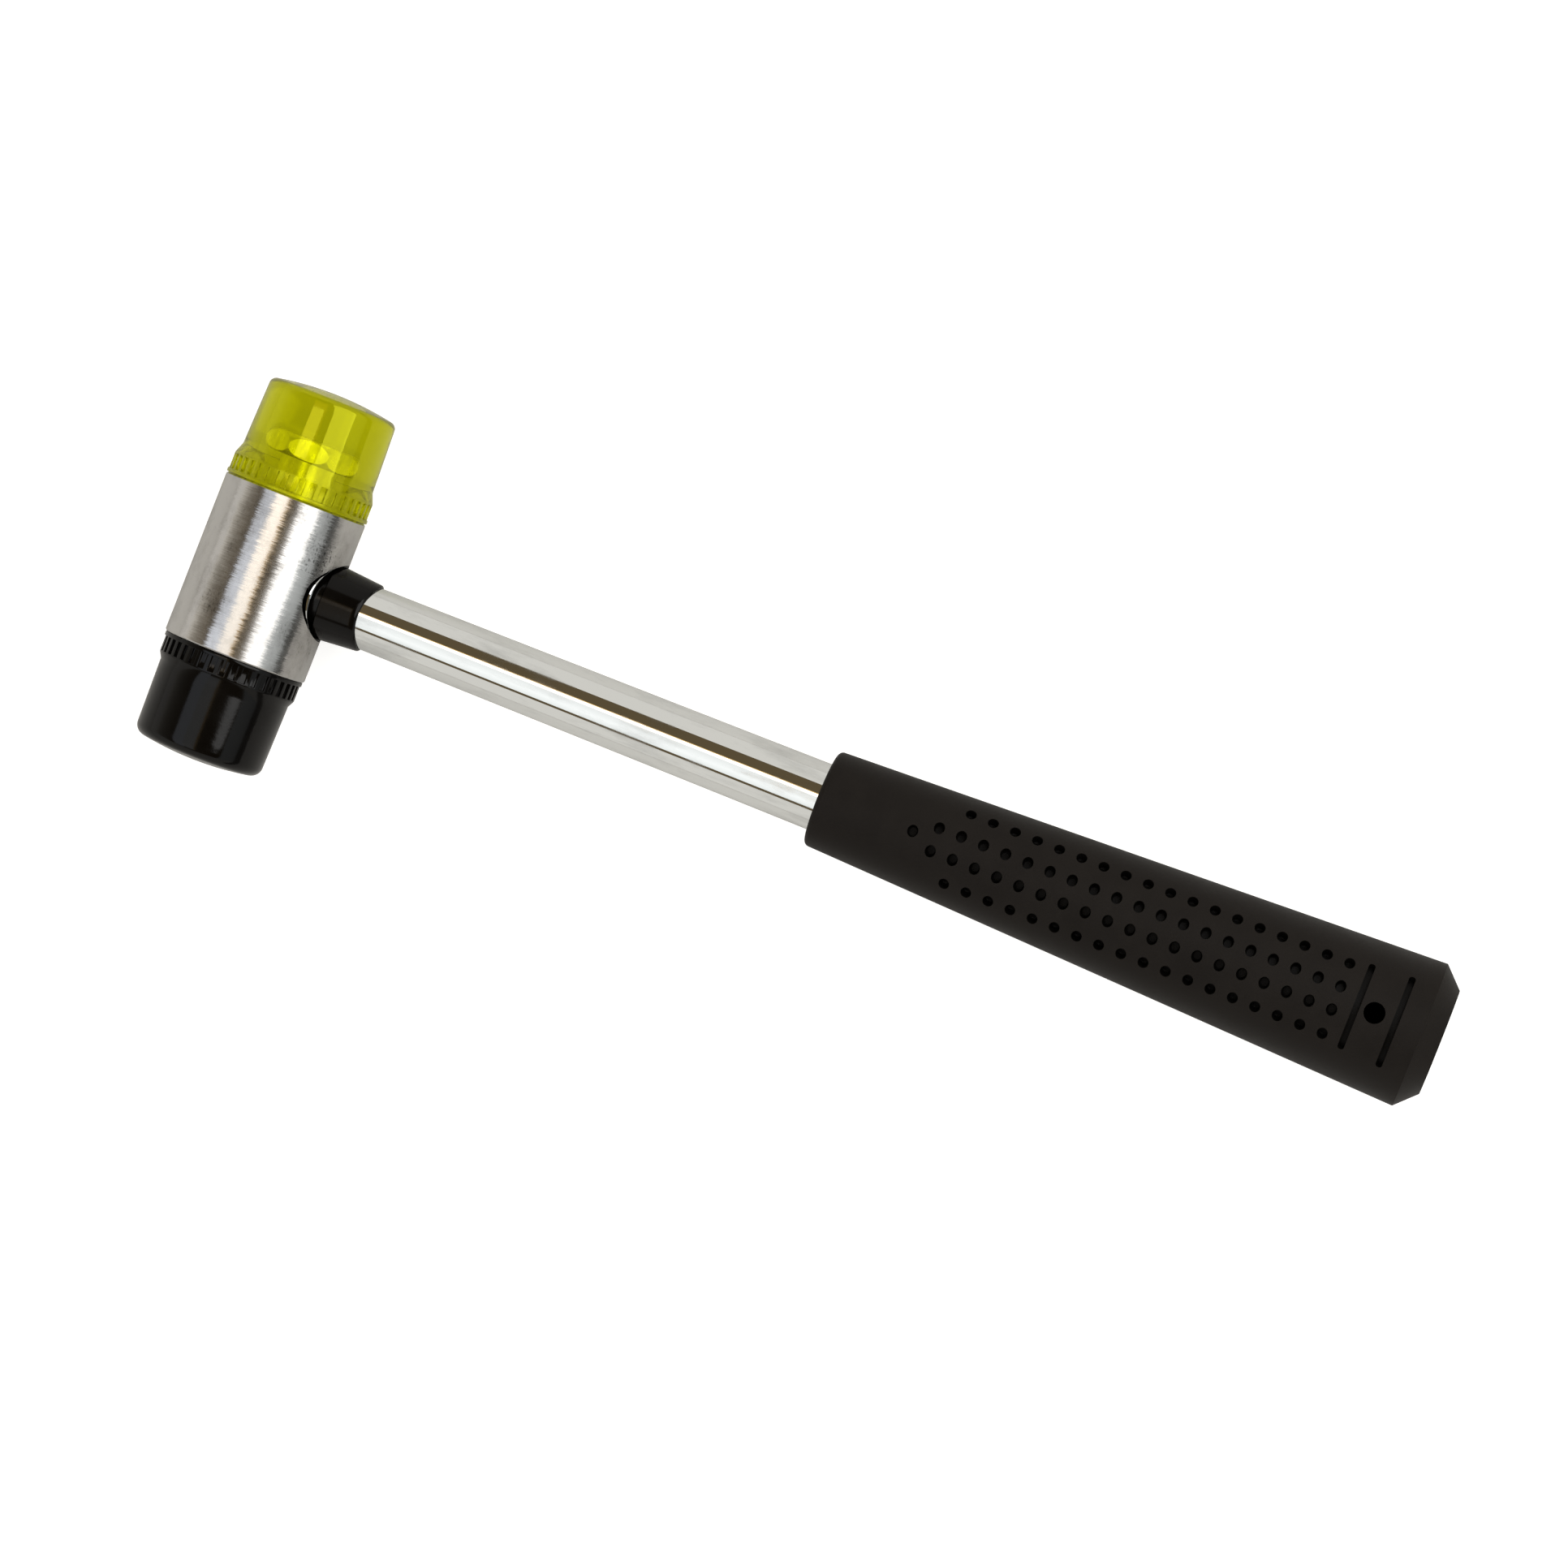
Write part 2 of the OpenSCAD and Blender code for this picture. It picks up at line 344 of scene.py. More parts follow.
def make_piece(name: str, shape: Shape, body: Body, node: str, finish: "Finish", *more: "Finish") -> None:
    """Turn a shape into a named piece that rides on a body and stands for its CAD node.

    Args:
        name: The piece's name.
        shape: Its shape in the hammer's frame, which is freed.
        body: The body that it moves with.
        node: The CAD node that it stands for.
        finish: Its surface.
        more: Further surfaces that some of its faces have.
    """
    piece = new_object(name, shape, finish.material(), *[other.material() for other in more])
    data = piece.data
    data.polygons.foreach_set("use_smooth", [True] * len(data.polygons))
    data.set_sharp_from_angle(angle=SHARP_ANGLE)
    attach(piece, body.value)
    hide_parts(node)
    LOG.info("%s: %d faces on %s", name, len(data.polygons), body.value)


@dataclass(frozen=True)
class Pattern:
    """A noise pattern: its repeats per metre, its octaves and the strength of the finer ones."""

    repeats: Point
    octaves: float
    fine_share: float


@dataclass(frozen=True)
class Relief:
    """How strongly, and how deep in millimetres, a pattern dents a surface."""

    strength: float
    depth: float


class ShaderGraph:
    """The node tree of one material, with short calls that add and join nodes."""

    def __init__(self, name: str) -> None:
        """Start an empty material.

        Args:
            name: The material's name.
        """
        self.material = bpy.data.materials.new(name)
        self.material.use_nodes = True
        self.tree = self.material.node_tree
        self.tree.nodes.clear()
        self.output = self.add("ShaderNodeOutputMaterial")

    def add(self, kind: str, inputs: dict[str, Any] | None = None, **settings: Any) -> bpy.types.Node:
        """Add a node.

        Args:
            kind: The node's type name.
            inputs: Values for its sockets, by socket name.
            settings: Values for its own properties.

        Returns:
            The new node.
        """
        node = self.tree.nodes.new(kind)
        for key, value in settings.items():
            setattr(node, key, value)
        for key, value in (inputs or {}).items():
            node.inputs[key].default_value = value
        return node

    def join(self, source: Socket, target: Socket) -> None:
        """Link an output socket to an input socket."""
        self.tree.links.new(source, target)

    def place(self, scale: Point = (1.0, 1.0, 1.0), centre: Sequence[float] = (0.0, 0.0, 0.0)) -> Socket:
        """Return the piece's own coordinates in metres, moved and scaled.

        Args:
            scale: Repeats per metre along each axis.
            centre: The point that becomes the pattern's centre.

        Returns:
            The vector socket.
        """
        coordinates = self.add("ShaderNodeTexCoord")
        mapping = self.add("ShaderNodeMapping")
        mapping.inputs["Scale"].default_value = scale
        mapping.inputs["Location"].default_value = [-c * s for c, s in zip(centre, scale)]
        self.join(coordinates.outputs["Object"], mapping.inputs["Vector"])
        return mapping.outputs["Vector"]

    def coordinate(self, axis: Axis) -> Socket:
        """Return one of the piece's own coordinates in metres.

        Args:
            axis: The coordinate's axis.

        Returns:
            The value socket.
        """
        parts = self.add("ShaderNodeSeparateXYZ")
        self.join(self.place(), parts.inputs["Vector"])
        return parts.outputs[axis.name]

    def noise(self, pattern: Pattern) -> Socket:
        """Return a noise pattern between 0 and 1.

        Args:
            pattern: The pattern's fineness and octaves.

        Returns:
            The value socket.
        """
        node = self.add(
            "ShaderNodeTexNoise",
            {"Scale": 1.0, "Detail": pattern.octaves, "Roughness": pattern.fine_share},
            noise_dimensions="3D",
        )
        self.join(self.place(pattern.repeats), node.inputs["Vector"])
        return node.outputs["Fac"]

    def ball(self, centre: Vector, radius: float) -> Socket:
        """Return a value that falls from 1 at a point to 0 at a distance from it.

        Args:
            centre: The point, in metres.
            radius: The distance, in metres.

        Returns:
            The value socket.
        """
        node = self.add("ShaderNodeTexGradient", gradient_type="SPHERICAL")
        self.join(self.place((1.0 / radius,) * 3, centre), node.inputs["Vector"])
        return node.outputs["Fac"]

    def spread(self, value: Socket, source: Pair, target: Pair = (0.0, 1.0)) -> Socket:
        """Map a value from one range to another, clamped.

        Args:
            value: The value socket.
            source: The lower and upper end of the incoming range.
            target: What these ends become.

        Returns:
            The mapped value socket.
        """
        names = ("From Min", "From Max", "To Min", "To Max")
        node = self.add("ShaderNodeMapRange", dict(zip(names, (*source, *target))), clamp=True)
        self.join(value, node.inputs["Value"])
        return node.outputs["Result"]

    def reckon(self, kind: Reckoning, first: Socket, second: Socket | float) -> Socket:
        """Make one value of two.

        Args:
            kind: How they are joined.
            first: The first value socket.
            second: The second value, as a socket or a constant.

        Returns:
            The value socket.
        """
        node = self.add("ShaderNodeMath", operation=kind.value)
        self.join(first, node.inputs[0])
        if isinstance(second, Socket):
            self.join(second, node.inputs[1])
        else:
            node.inputs[1].default_value = second
        return node.outputs["Value"]

    def lean(self, along: Socket, amount: Socket) -> Socket:
        """Return the surface's normal leaned along a direction.

        Args:
            along: The direction.
            amount: How far it leans, as a share of the normal's length.

        Returns:
            The normal socket.
        """
        aside = self.add("ShaderNodeVectorMath", operation="SCALE")
        self.join(along, aside.inputs["Vector"])
        self.join(amount, aside.inputs["Scale"])
        total = self.add("ShaderNodeVectorMath", operation="ADD")
        self.join(self.add("ShaderNodeNewGeometry").outputs["Normal"], total.inputs[0])
        self.join(aside.outputs["Vector"], total.inputs[1])
        unit = self.add("ShaderNodeVectorMath", operation="NORMALIZE")
        self.join(total.outputs["Vector"], unit.inputs[0])
        return unit.outputs["Vector"]

    def blend(self, share: Socket, first: Tint, second: Tint) -> Socket:
        """Mix two colours.

        Args:
            share: The share of the second colour.
            first: The first colour, as values or as a socket.
            second: The second colour.

        Returns:
            The colour socket.
        """
        node = self.add("ShaderNodeMix", data_type="RGBA")
        colours = [socket for socket in node.inputs if socket.type == "RGBA"]
        for socket, colour in zip(colours, (first, second)):
            if isinstance(colour, Socket):
                self.join(colour, socket)
            else:
                socket.default_value = (*colour, 1.0)
        self.join(share, node.inputs["Factor"])
        return next(socket for socket in node.outputs if socket.type == "RGBA")

    def bump(self, height: Socket, relief: Relief, normal: Socket | None = None) -> Socket:
        """Return normals disturbed by a height pattern.

        Args:
            height: The height pattern, from 0 to 1.
            relief: How strong and deep it is.
            normal: The normals that are disturbed, the surface's own where none are given.

        Returns:
            The normal socket.
        """
        node = self.add("ShaderNodeBump", {"Strength": relief.strength, "Distance": relief.depth * MM})
        self.join(height, node.inputs["Height"])
        if normal:
            self.join(normal, node.inputs["Normal"])
        return node.outputs["Normal"]

    def surface(self, inputs: dict[str, Any]) -> bpy.types.Node:
        """Add the surface shader and join it to the output.

        Args:
            inputs: Values for its sockets.

        Returns:
            The shader node.
        """
        shader = self.add("ShaderNodeBsdfPrincipled", inputs)
        self.join(shader.outputs["BSDF"], self.output.inputs["Surface"])
        return shader


@dataclass(frozen=True)
class Finish:
    """A surface that can be made into a material once and shared."""

    name: str
    slot: str

    def material(self) -> bpy.types.Material:
        """Return the finish's material, made on first use."""
        known = bpy.data.materials.get(self.name)
        return known or self.make()

    def make(self) -> bpy.types.Material:
        """Make the material."""
        raise NotImplementedError


@dataclass(frozen=True)
class TurnedSteel(Finish):
    """Satin steel with fine lathe lines round the head's axis, stains and a pitted scar."""

    colour: Colour = (0.62, 0.61, 0.595)
    stain: Colour = (0.40, 0.39, 0.375)
    pit: Colour = (0.05, 0.045, 0.04)
    roughness: Pair = (0.15, 0.24)
    stretch: float = 0.5
    stretch_turn: float = 0.25
    lines: Pattern = Pattern((220.0, 5200.0, 220.0), 4.0, 0.65)
    clouds: Pattern = Pattern((140.0, 95.0, 140.0), 7.0, 0.66)
    pits: Pattern = Pattern((2600.0, 1700.0, 2600.0), 4.0, 0.6)
    dull_lines: Pair = (0.3, 0.7)
    leaning_lines: Pair = (0.2, 0.8)
    stained_clouds: Pair = (0.46, 0.72)
    worn_clouds: Pair = (0.56, 0.72)
    deep_pits: Pair = (0.54, 0.66)
    pit_relief: Relief = Relief(0.1, 0.02)
    streak: float = 0.13
    scar_place: Point = (11.3, 8.0, 9.9)
    scar_radius: float = 6.5
    scar_edge: Pair = (0.05, 0.75)

    def make(self) -> bpy.types.Material:
        """Make the material.

        Returns:
            The new material.
        """
        graph = ShaderGraph(self.name)
        lines = graph.noise(self.lines)
        clouds = graph.noise(self.clouds)
        pits = graph.noise(self.pits)
        shader = graph.surface(
            {"Metallic": 1.0, "Anisotropic": self.stretch, "Anisotropic Rotation": self.stretch_turn}
        )
        tangent = graph.add("ShaderNodeTangent", direction_type="RADIAL", axis="Y").outputs["Tangent"]
        graph.join(tangent, shader.inputs["Tangent"])
        stained = graph.blend(graph.spread(clouds, self.stained_clouds), self.colour, self.stain)
        scar = graph.ball(axes_crossing() + Vector(self.scar_place) * MM, self.scar_radius * MM)
        scarred = graph.spread(scar, self.scar_edge)
        worn = graph.reckon(Reckoning.LARGER, graph.spread(clouds, self.worn_clouds), scarred)
        spots = graph.reckon(Reckoning.PRODUCT, graph.spread(pits, self.deep_pits), worn)
        graph.join(graph.blend(spots, stained, self.pit), shader.inputs["Base Color"])
        graph.join(graph.spread(lines, self.dull_lines, self.roughness), shader.inputs["Roughness"])
        lean = (-self.streak / 2, self.streak / 2)
        leaned = graph.lean(tangent, graph.spread(lines, self.leaning_lines, lean))
        graph.join(graph.bump(pits, self.pit_relief, leaned), shader.inputs["Normal"])
        return graph.material


@dataclass(frozen=True)
class MirrorChrome(Finish):
    """Chrome plate with faint wiped smudges."""

    colour: Colour = (0.86, 0.88, 0.875)
    smudge_share: float = 0.78
    roughness: Pair = (0.025, 0.2)
    smears: Pattern = Pattern((45.0, 170.0, 170.0), 7.0, 0.65)
    specks: Pattern = Pattern((900.0, 900.0, 900.0), 3.0, 0.6)
    dark_smears: Pair = (0.5, 0.7)
    dull_smears: Pair = (0.48, 0.7)
    speck_relief: Relief = Relief(0.04, 0.01)

    def make(self) -> bpy.types.Material:
        """Make the material.

        Returns:
            The new material.
        """
        graph = ShaderGraph(self.name)
        smears = graph.noise(self.smears)
        specks = graph.noise(self.specks)
        shader = graph.surface({"Metallic": 1.0})
        dull = tuple(self.smudge_share * part for part in self.colour)
        smudged = graph.blend(graph.spread(smears, self.dark_smears), self.colour, dull)
        graph.join(smudged, shader.inputs["Base Color"])
        graph.join(graph.spread(smears, self.dull_smears, self.roughness), shader.inputs["Roughness"])
        graph.join(graph.bump(specks, self.speck_relief), shader.inputs["Normal"])
        return graph.material


@dataclass(frozen=True)
class PlatedSteel(Finish):
    """Bright plated steel of bolts and plugs."""

    colour: Colour = (0.98, 0.98, 0.96)
    dull_share: float = 0.8
    roughness: Pair = (0.22, 0.4)
    grain: Pattern = Pattern((900.0, 260.0, 900.0), 5.0, 0.6)
    dark_grain: Pair = (0.4, 0.7)
    rough_grain: Pair = (0.3, 0.7)
    relief: Relief = Relief(0.15, 0.03)

    def make(self) -> bpy.types.Material:
        """Make the material.

        Returns:
            The new material.
        """
        graph = ShaderGraph(self.name)
        grain = graph.noise(self.grain)
        shader = graph.surface({"Metallic": 1.0})
        dull = tuple(self.dull_share * part for part in self.colour)
        plate = graph.blend(graph.spread(grain, self.dark_grain), self.colour, dull)
        graph.join(plate, shader.inputs["Base Color"])
        graph.join(graph.spread(grain, self.rough_grain, self.roughness), shader.inputs["Roughness"])
        graph.join(graph.bump(grain, self.relief), shader.inputs["Normal"])
        return graph.material


@dataclass(frozen=True)
class ClearPlastic(Finish):
    """Clear yellow-green plastic whose colour deepens with thickness, duller on its ribbed ring.

    The ring's top is measured in millimetres from the middle of the head.
    """

    base: Colour = (0.93, 0.955, 0.02)
    glint: Colour = (1.0, 0.95, 0.12)
    tint: Colour = (0.905, 0.90, 0.05)
    density: float = 230.0
    clear_share: float = 0.93
    metal_share: float = 0.07
    light_bending: float = 1.49
    roughness: Pair = (0.03, 0.08)
    haze: Pattern = Pattern((260.0, 260.0, 260.0), 4.0, 0.6)
    dull_haze: Pair = (0.35, 0.75)
    relief: Relief = Relief(0.06, 0.05)
    ring_roughness: float = 0.2
    ring_top: float = 21.55
    ring_blend: float = 0.6

    def make(self) -> bpy.types.Material:
        """Make the material.

        Returns:
            The new material.
        """
        graph = ShaderGraph(self.name)
        haze = graph.noise(self.haze)
        shader = graph.surface(
            {
                "Base Color": (*self.base, 1.0),
                "Transmission Weight": self.clear_share,
                "IOR": self.light_bending,
                "Specular Tint": (*self.glint, 1.0),
                "Metallic": self.metal_share,
            }
        )
        ring_end = (self.ring_top * MM, (self.ring_top + self.ring_blend) * MM)
        on_ring = graph.spread(graph.coordinate(Axis.Y), ring_end, (self.ring_roughness, 0.0))
        hazy = graph.spread(haze, self.dull_haze, self.roughness)
        graph.join(graph.reckon(Reckoning.LARGER, hazy, on_ring), shader.inputs["Roughness"])
        graph.join(graph.bump(haze, self.relief), shader.inputs["Normal"])
        depth = graph.add("ShaderNodeVolumeAbsorption", {"Color": (*self.tint, 1.0), "Density": self.density})
        graph.join(depth.outputs["Volume"], graph.output.inputs["Volume"])
        return graph.material


@dataclass(frozen=True)
class BlackRubber(Finish):
    """Black rubber or plastic with a fine moulded surface."""

    colour: Colour = (0.0014, 0.0011, 0.0009)
    worn: Colour = (0.0026, 0.0022, 0.0019)
    roughness: Pair = (0.1, 0.16)
    grain: Pattern = Pattern((900.0, 900.0, 900.0), 4.0, 0.6)
    relief: Relief = Relief(0.35, 0.03)
    clouds: Pattern = Pattern((120.0, 120.0, 120.0), 6.0, 0.65)
    worn_clouds: Pair = (0.4, 0.7)
    dull_clouds: Pair = (0.35, 0.7)
    light_bending: float = 1.5
    shine: float = 0.23
    sheen: float = 0.0
    sheen_roughness: float = 0.45

    def make(self) -> bpy.types.Material:
        """Make the material.

        Returns:
            The new material.
        """
        graph = ShaderGraph(self.name)
        grain = graph.noise(self.grain)
        clouds = graph.noise(self.clouds)
        shader = graph.surface(
            {
                "IOR": self.light_bending,
                "Specular IOR Level": self.shine,
                "Sheen Weight": self.sheen,
                "Sheen Roughness": self.sheen_roughness,
            }
        )
        rubbed = graph.blend(graph.spread(clouds, self.worn_clouds), self.colour, self.worn)
        graph.join(rubbed, shader.inputs["Base Color"])
        graph.join(graph.spread(clouds, self.dull_clouds, self.roughness), shader.inputs["Roughness"])
        graph.join(graph.bump(grain, self.relief), shader.inputs["Normal"])
        return graph.material


GRIP_GRAIN = Pattern((1500.0, 1500.0, 1500.0), 4.0, 0.6)
BARREL_STEEL = TurnedSteel("barrel_satin_steel", "barrel_steel")
TUBE_CHROME = MirrorChrome("tube_chrome_plate", "tube_chrome")
BOLT_STEEL = PlatedSteel("bolt_plated_steel", "bolt_steel")
HARD_PLASTIC = ClearPlastic("hard_face_clear_plastic", "clear_plastic")
FACE_RUBBER = BlackRubber("soft_face_rubber", "black_rubber")
# The collar's black plastic, also laid on the barrel's recess as painted shade.
COLLAR_AND_RECESS_SHADE = BlackRubber(
    "collar_plastic_and_recess_shade",
    "collar_plastic",
    roughness=(0.12, 0.18),
    relief=Relief(0.35, 0.015),
    shine=0.18,
)
GRIP_RUBBER = BlackRubber(
    "grip_matt_rubber",
    "grip_rubber",
    colour=(0.0066, 0.0047, 0.0034),
    worn=(0.0092, 0.0069, 0.0052),
    roughness=(0.52, 0.64),
    grain=GRIP_GRAIN,
    relief=Relief(0.35, 0.05),
    shine=0.15,
    sheen=0.03,
)
# Darker rubber in the grip's dots, grooves and hang hole: painted shade.
GRIP_HOLLOW_SHADE = BlackRubber(
    "grip_hollow_painted_shade",
    "grip_rubber",
    roughness=(0.4, 0.55),
    grain=GRIP_GRAIN,
    shine=0.12,
)


@dataclass(frozen=True)
class Barrel:
    """The turned steel head between the two faces, with the handle's recess and a bright bead in it."""

    radius: float = 15.0
    length: float = BARREL_LENGTH
    chamfer: float = 0.4
    bore_radius: float = 4.05
    socket_radius: float = TUBE_RADIUS + PUSH_FIT
    socket_reach: float = TUBE_REACH
    recess_radius: float = 9.0
    recess_depth: float = 4.4
    recess_fillet: float = 0.6
    recess_oval: Pair = (1.167, 0.92)
    bead_ring: float = 9.0
    bead_radius: float = 0.6
    bead_sink: float = 0.5
    bead_fade: int = 8
    bead_least_share: float = 0.03
    bead_steps: tuple[int, int] = (96, 12)
    length_steps: int = 24
    fillet_steps: int = 10
    recess_steps: int = 128
    steps: int = 288

    @property
    def recess_floor(self) -> float:
        """Distance of the recess's floor from the head's axis."""
        return self.radius - self.recess_depth

    def turned(self) -> Shape:
        """Return the plain barrel with its bore, in the hammer's frame.

        Returns:
            The shape.
        """
        half = self.length / 2
        start = (self.radius, self.chamfer - half)
        end = (self.radius, half - self.chamfer)
        outline = [
            (self.bore_radius, -half),
            (self.radius - self.chamfer, -half),
            start,
            *straight(start, end, self.length_steps),
            (self.radius - self.chamfer, half),
            (self.bore_radius, half),
        ]
        shape = lathe(outline, self.steps, closed=True)
        shape.transform(on_barrel_end(Side.HARD, 0.0))
        return shape

    def recess(self) -> Shape:
        """Return the cutter of the oval recess and of the socket in its floor, in the hammer's frame.

        Returns:
            The cutter.
        """
        floor = self.recess_floor
        past = self.radius + self.recess_depth
        inset = self.recess_radius - self.recess_fillet
        outline = [
            (0.0, -self.socket_reach),
            (self.socket_radius, -self.socket_reach),
            (self.socket_radius, floor),
            (inset, floor),
            *arc((inset, floor + self.recess_fillet), self.recess_fillet, -90.0, 0.0, self.fillet_steps),
            (self.recess_radius, past),
            (0.0, past),
        ]
        cutter = lathe(outline, self.recess_steps)
        above_floor = [vert for vert in cutter.verts if vert.co.z > floor * MM + WELD]
        bmesh.ops.scale(cutter, vec=(*self.recess_oval, 1.0), verts=above_floor)
        cutter.transform(along_handle())
        return cutter

    def bead(self) -> Shape:
        """Return the bead in the recess, which follows the barrel and fades out at its sides.

        Returns:
            The shape, in the hammer's frame but about the point where the axes cross.
        """
        around, across = self.bead_steps
        turns = [math.tau * step / across for step in range(across)]
        ring, thick = self.bead_ring, self.bead_radius
        shape = lathe([(ring + thick * math.cos(t), thick * math.sin(t)) for t in turns], around, closed=True)
        for vert in shape.verts:
            turn = math.atan2(vert.co.y, vert.co.x)
            fade = max(math.sin(turn) ** self.bead_fade, self.bead_least_share)
            out = ring + (vert.co.xy.length / MM - ring) * fade
            rise = math.sqrt(self.radius**2 - (ring * math.sin(turn)) ** 2) - self.bead_sink
            along = rise + vert.co.z / MM * fade
            aside = self.recess_oval[1] * out * math.cos(turn)
            vert.co = Vector((along, aside, out * math.sin(turn))) * MM
        close_up(shape)
        for face in shape.faces:
            face.material_index = BarrelFinish.BEAD
        return shape

    def build(self) -> Shape:
        """Cut the recess into the barrel, paint shade into it with the collar's black plastic and lay the
        bead in it.

        Returns:
            The shape in the hammer's frame.
        """
        shape = combine(self.turned(), self.recess(), Cut.AWAY)
        middle = axes_crossing()
        tall, wide = self.recess_oval
        slack = WELD / MM
        # Faces in the recess take the collar's black plastic, as painted shade.
        for face in shape.faces:
            off = (face.calc_center_median() - middle) / MM
            out = math.hypot(off.z / tall, off.y / wide)
            if off.x > self.recess_floor - slack and out < self.recess_radius - slack:
                face.material_index = BarrelFinish.RECESS_PAINTED_SHADE
        bead = self.bead()
        add_copy(shape, bead, Matrix.Translation(middle))
        bead.free()
        return shape

    def dress(self) -> None:
        """Make the finished barrel, with painted shade in its recess and the bright bead in it."""
        finishes = (BARREL_STEEL, COLLAR_AND_RECESS_SHADE, TUBE_CHROME)
        make_piece("head_barrel_turned", self.build(), Body.HAMMER, "head_barrel", *finishes)


@dataclass(frozen=True)
class ScrewFace:
    """A screw-in striking face with a flange and a ribbed ring."""

    side: Side
    finish: Finish
    name: str
    body: Body
    node: str
    flange_radius: float
    ring_radius: float
    shoulder: float
    body_radius: float
    end_radius: float
    crown: float
    rim_radius: float
    barrel_half: float = BARREL_LENGTH / 2
    height: float = 22.35
    flange_thickness: float = 0.85
    ring_height: float = 3.4
    ring_band: float = 0.3
    rib_count: int = 40
    rib_steps: int = 3
    gap_steps: int = 4
    rib_depth: float = 0.5
    seat_gap: float = 0.04
    edge_round: float = 0.1
    edge_segments: int = 2
    side_steps: int = 8
    rim_steps: int = 8
    crown_steps: int = 12
    upright_share: float = 0.5

    def outline(self) -> list[Pair]:
        """Return the half outline from the axis at the barrel to the crown.

        Returns:
            The points as (radius, height) pairs.
        """
        ring_top = self.flange_thickness + self.ring_height
        shoulder_top = ring_top + self.shoulder
        inset = self.end_radius - self.rim_radius
        crown_radius = (self.end_radius**2 + self.crown**2) / (2 * self.crown)
        crown_centre = self.height - crown_radius
        rim_height = crown_centre + math.sqrt((crown_radius - self.rim_radius) ** 2 - inset**2)
        join = math.degrees(math.atan2(rim_height - crown_centre, inset))
        return [
            (0.0, self.seat_gap),
            (self.flange_radius, self.seat_gap),
            (self.flange_radius, self.flange_thickness),
            (self.ring_radius, self.flange_thickness),
            (self.ring_radius, ring_top - self.ring_band),
            (self.ring_radius, ring_top),
            (self.body_radius, shoulder_top),
            *straight((self.body_radius, shoulder_top), (self.end_radius, rim_height), self.side_steps),
            *arc((inset, rim_height), self.rim_radius, 0.0, join, self.rim_steps),
            *arc((0.0, crown_centre), crown_radius, join, 90.0, self.crown_steps),
        ]

    def build(self) -> Shape:
        """Turn the face and sink the gaps between its ribs.

        Returns:
            The shape in the hammer's frame.
        """
        pitch = self.rib_steps + self.gap_steps
        steps = self.rib_count * pitch
        shape = lathe(self.outline(), steps)
        low = self.flange_thickness * MM
        high = (self.flange_thickness + self.ring_height - self.ring_band) * MM
        gaps = []
        for face in shape.faces:
            middle = face.calc_center_median()
            turn = math.atan2(middle.y, middle.x) / math.tau * steps
            on_ring = low < middle.z < high and abs(face.normal.z) < self.upright_share
            if on_ring and math.floor(turn) % pitch < self.gap_steps:
                gaps.append(face)
        sunk = bmesh.ops.extrude_face_region(shape, geom=gaps)
        bmesh.ops.delete(shape, geom=gaps, context="FACES")
        inner = (self.ring_radius - self.rib_depth) / self.ring_radius
        floors = [part for part in sunk["geom"] if isinstance(part, bmesh.types.BMVert)]
        bmesh.ops.scale(shape, vec=(inner, inner, 1.0), verts=floors)
        close_up(shape)
        sharp = [edge for edge in shape.edges if edge.calc_face_angle(0.0) > SHARP_ANGLE]
        round_edges(shape, sharp, self.edge_round, self.edge_segments, clamp=True)
        shape.transform(on_barrel_end(self.side, self.barrel_half))
        return shape

    def dress(self) -> None:
        """Make the finished face."""
        make_piece(self.name, self.build(), self.body, self.node, self.finish)


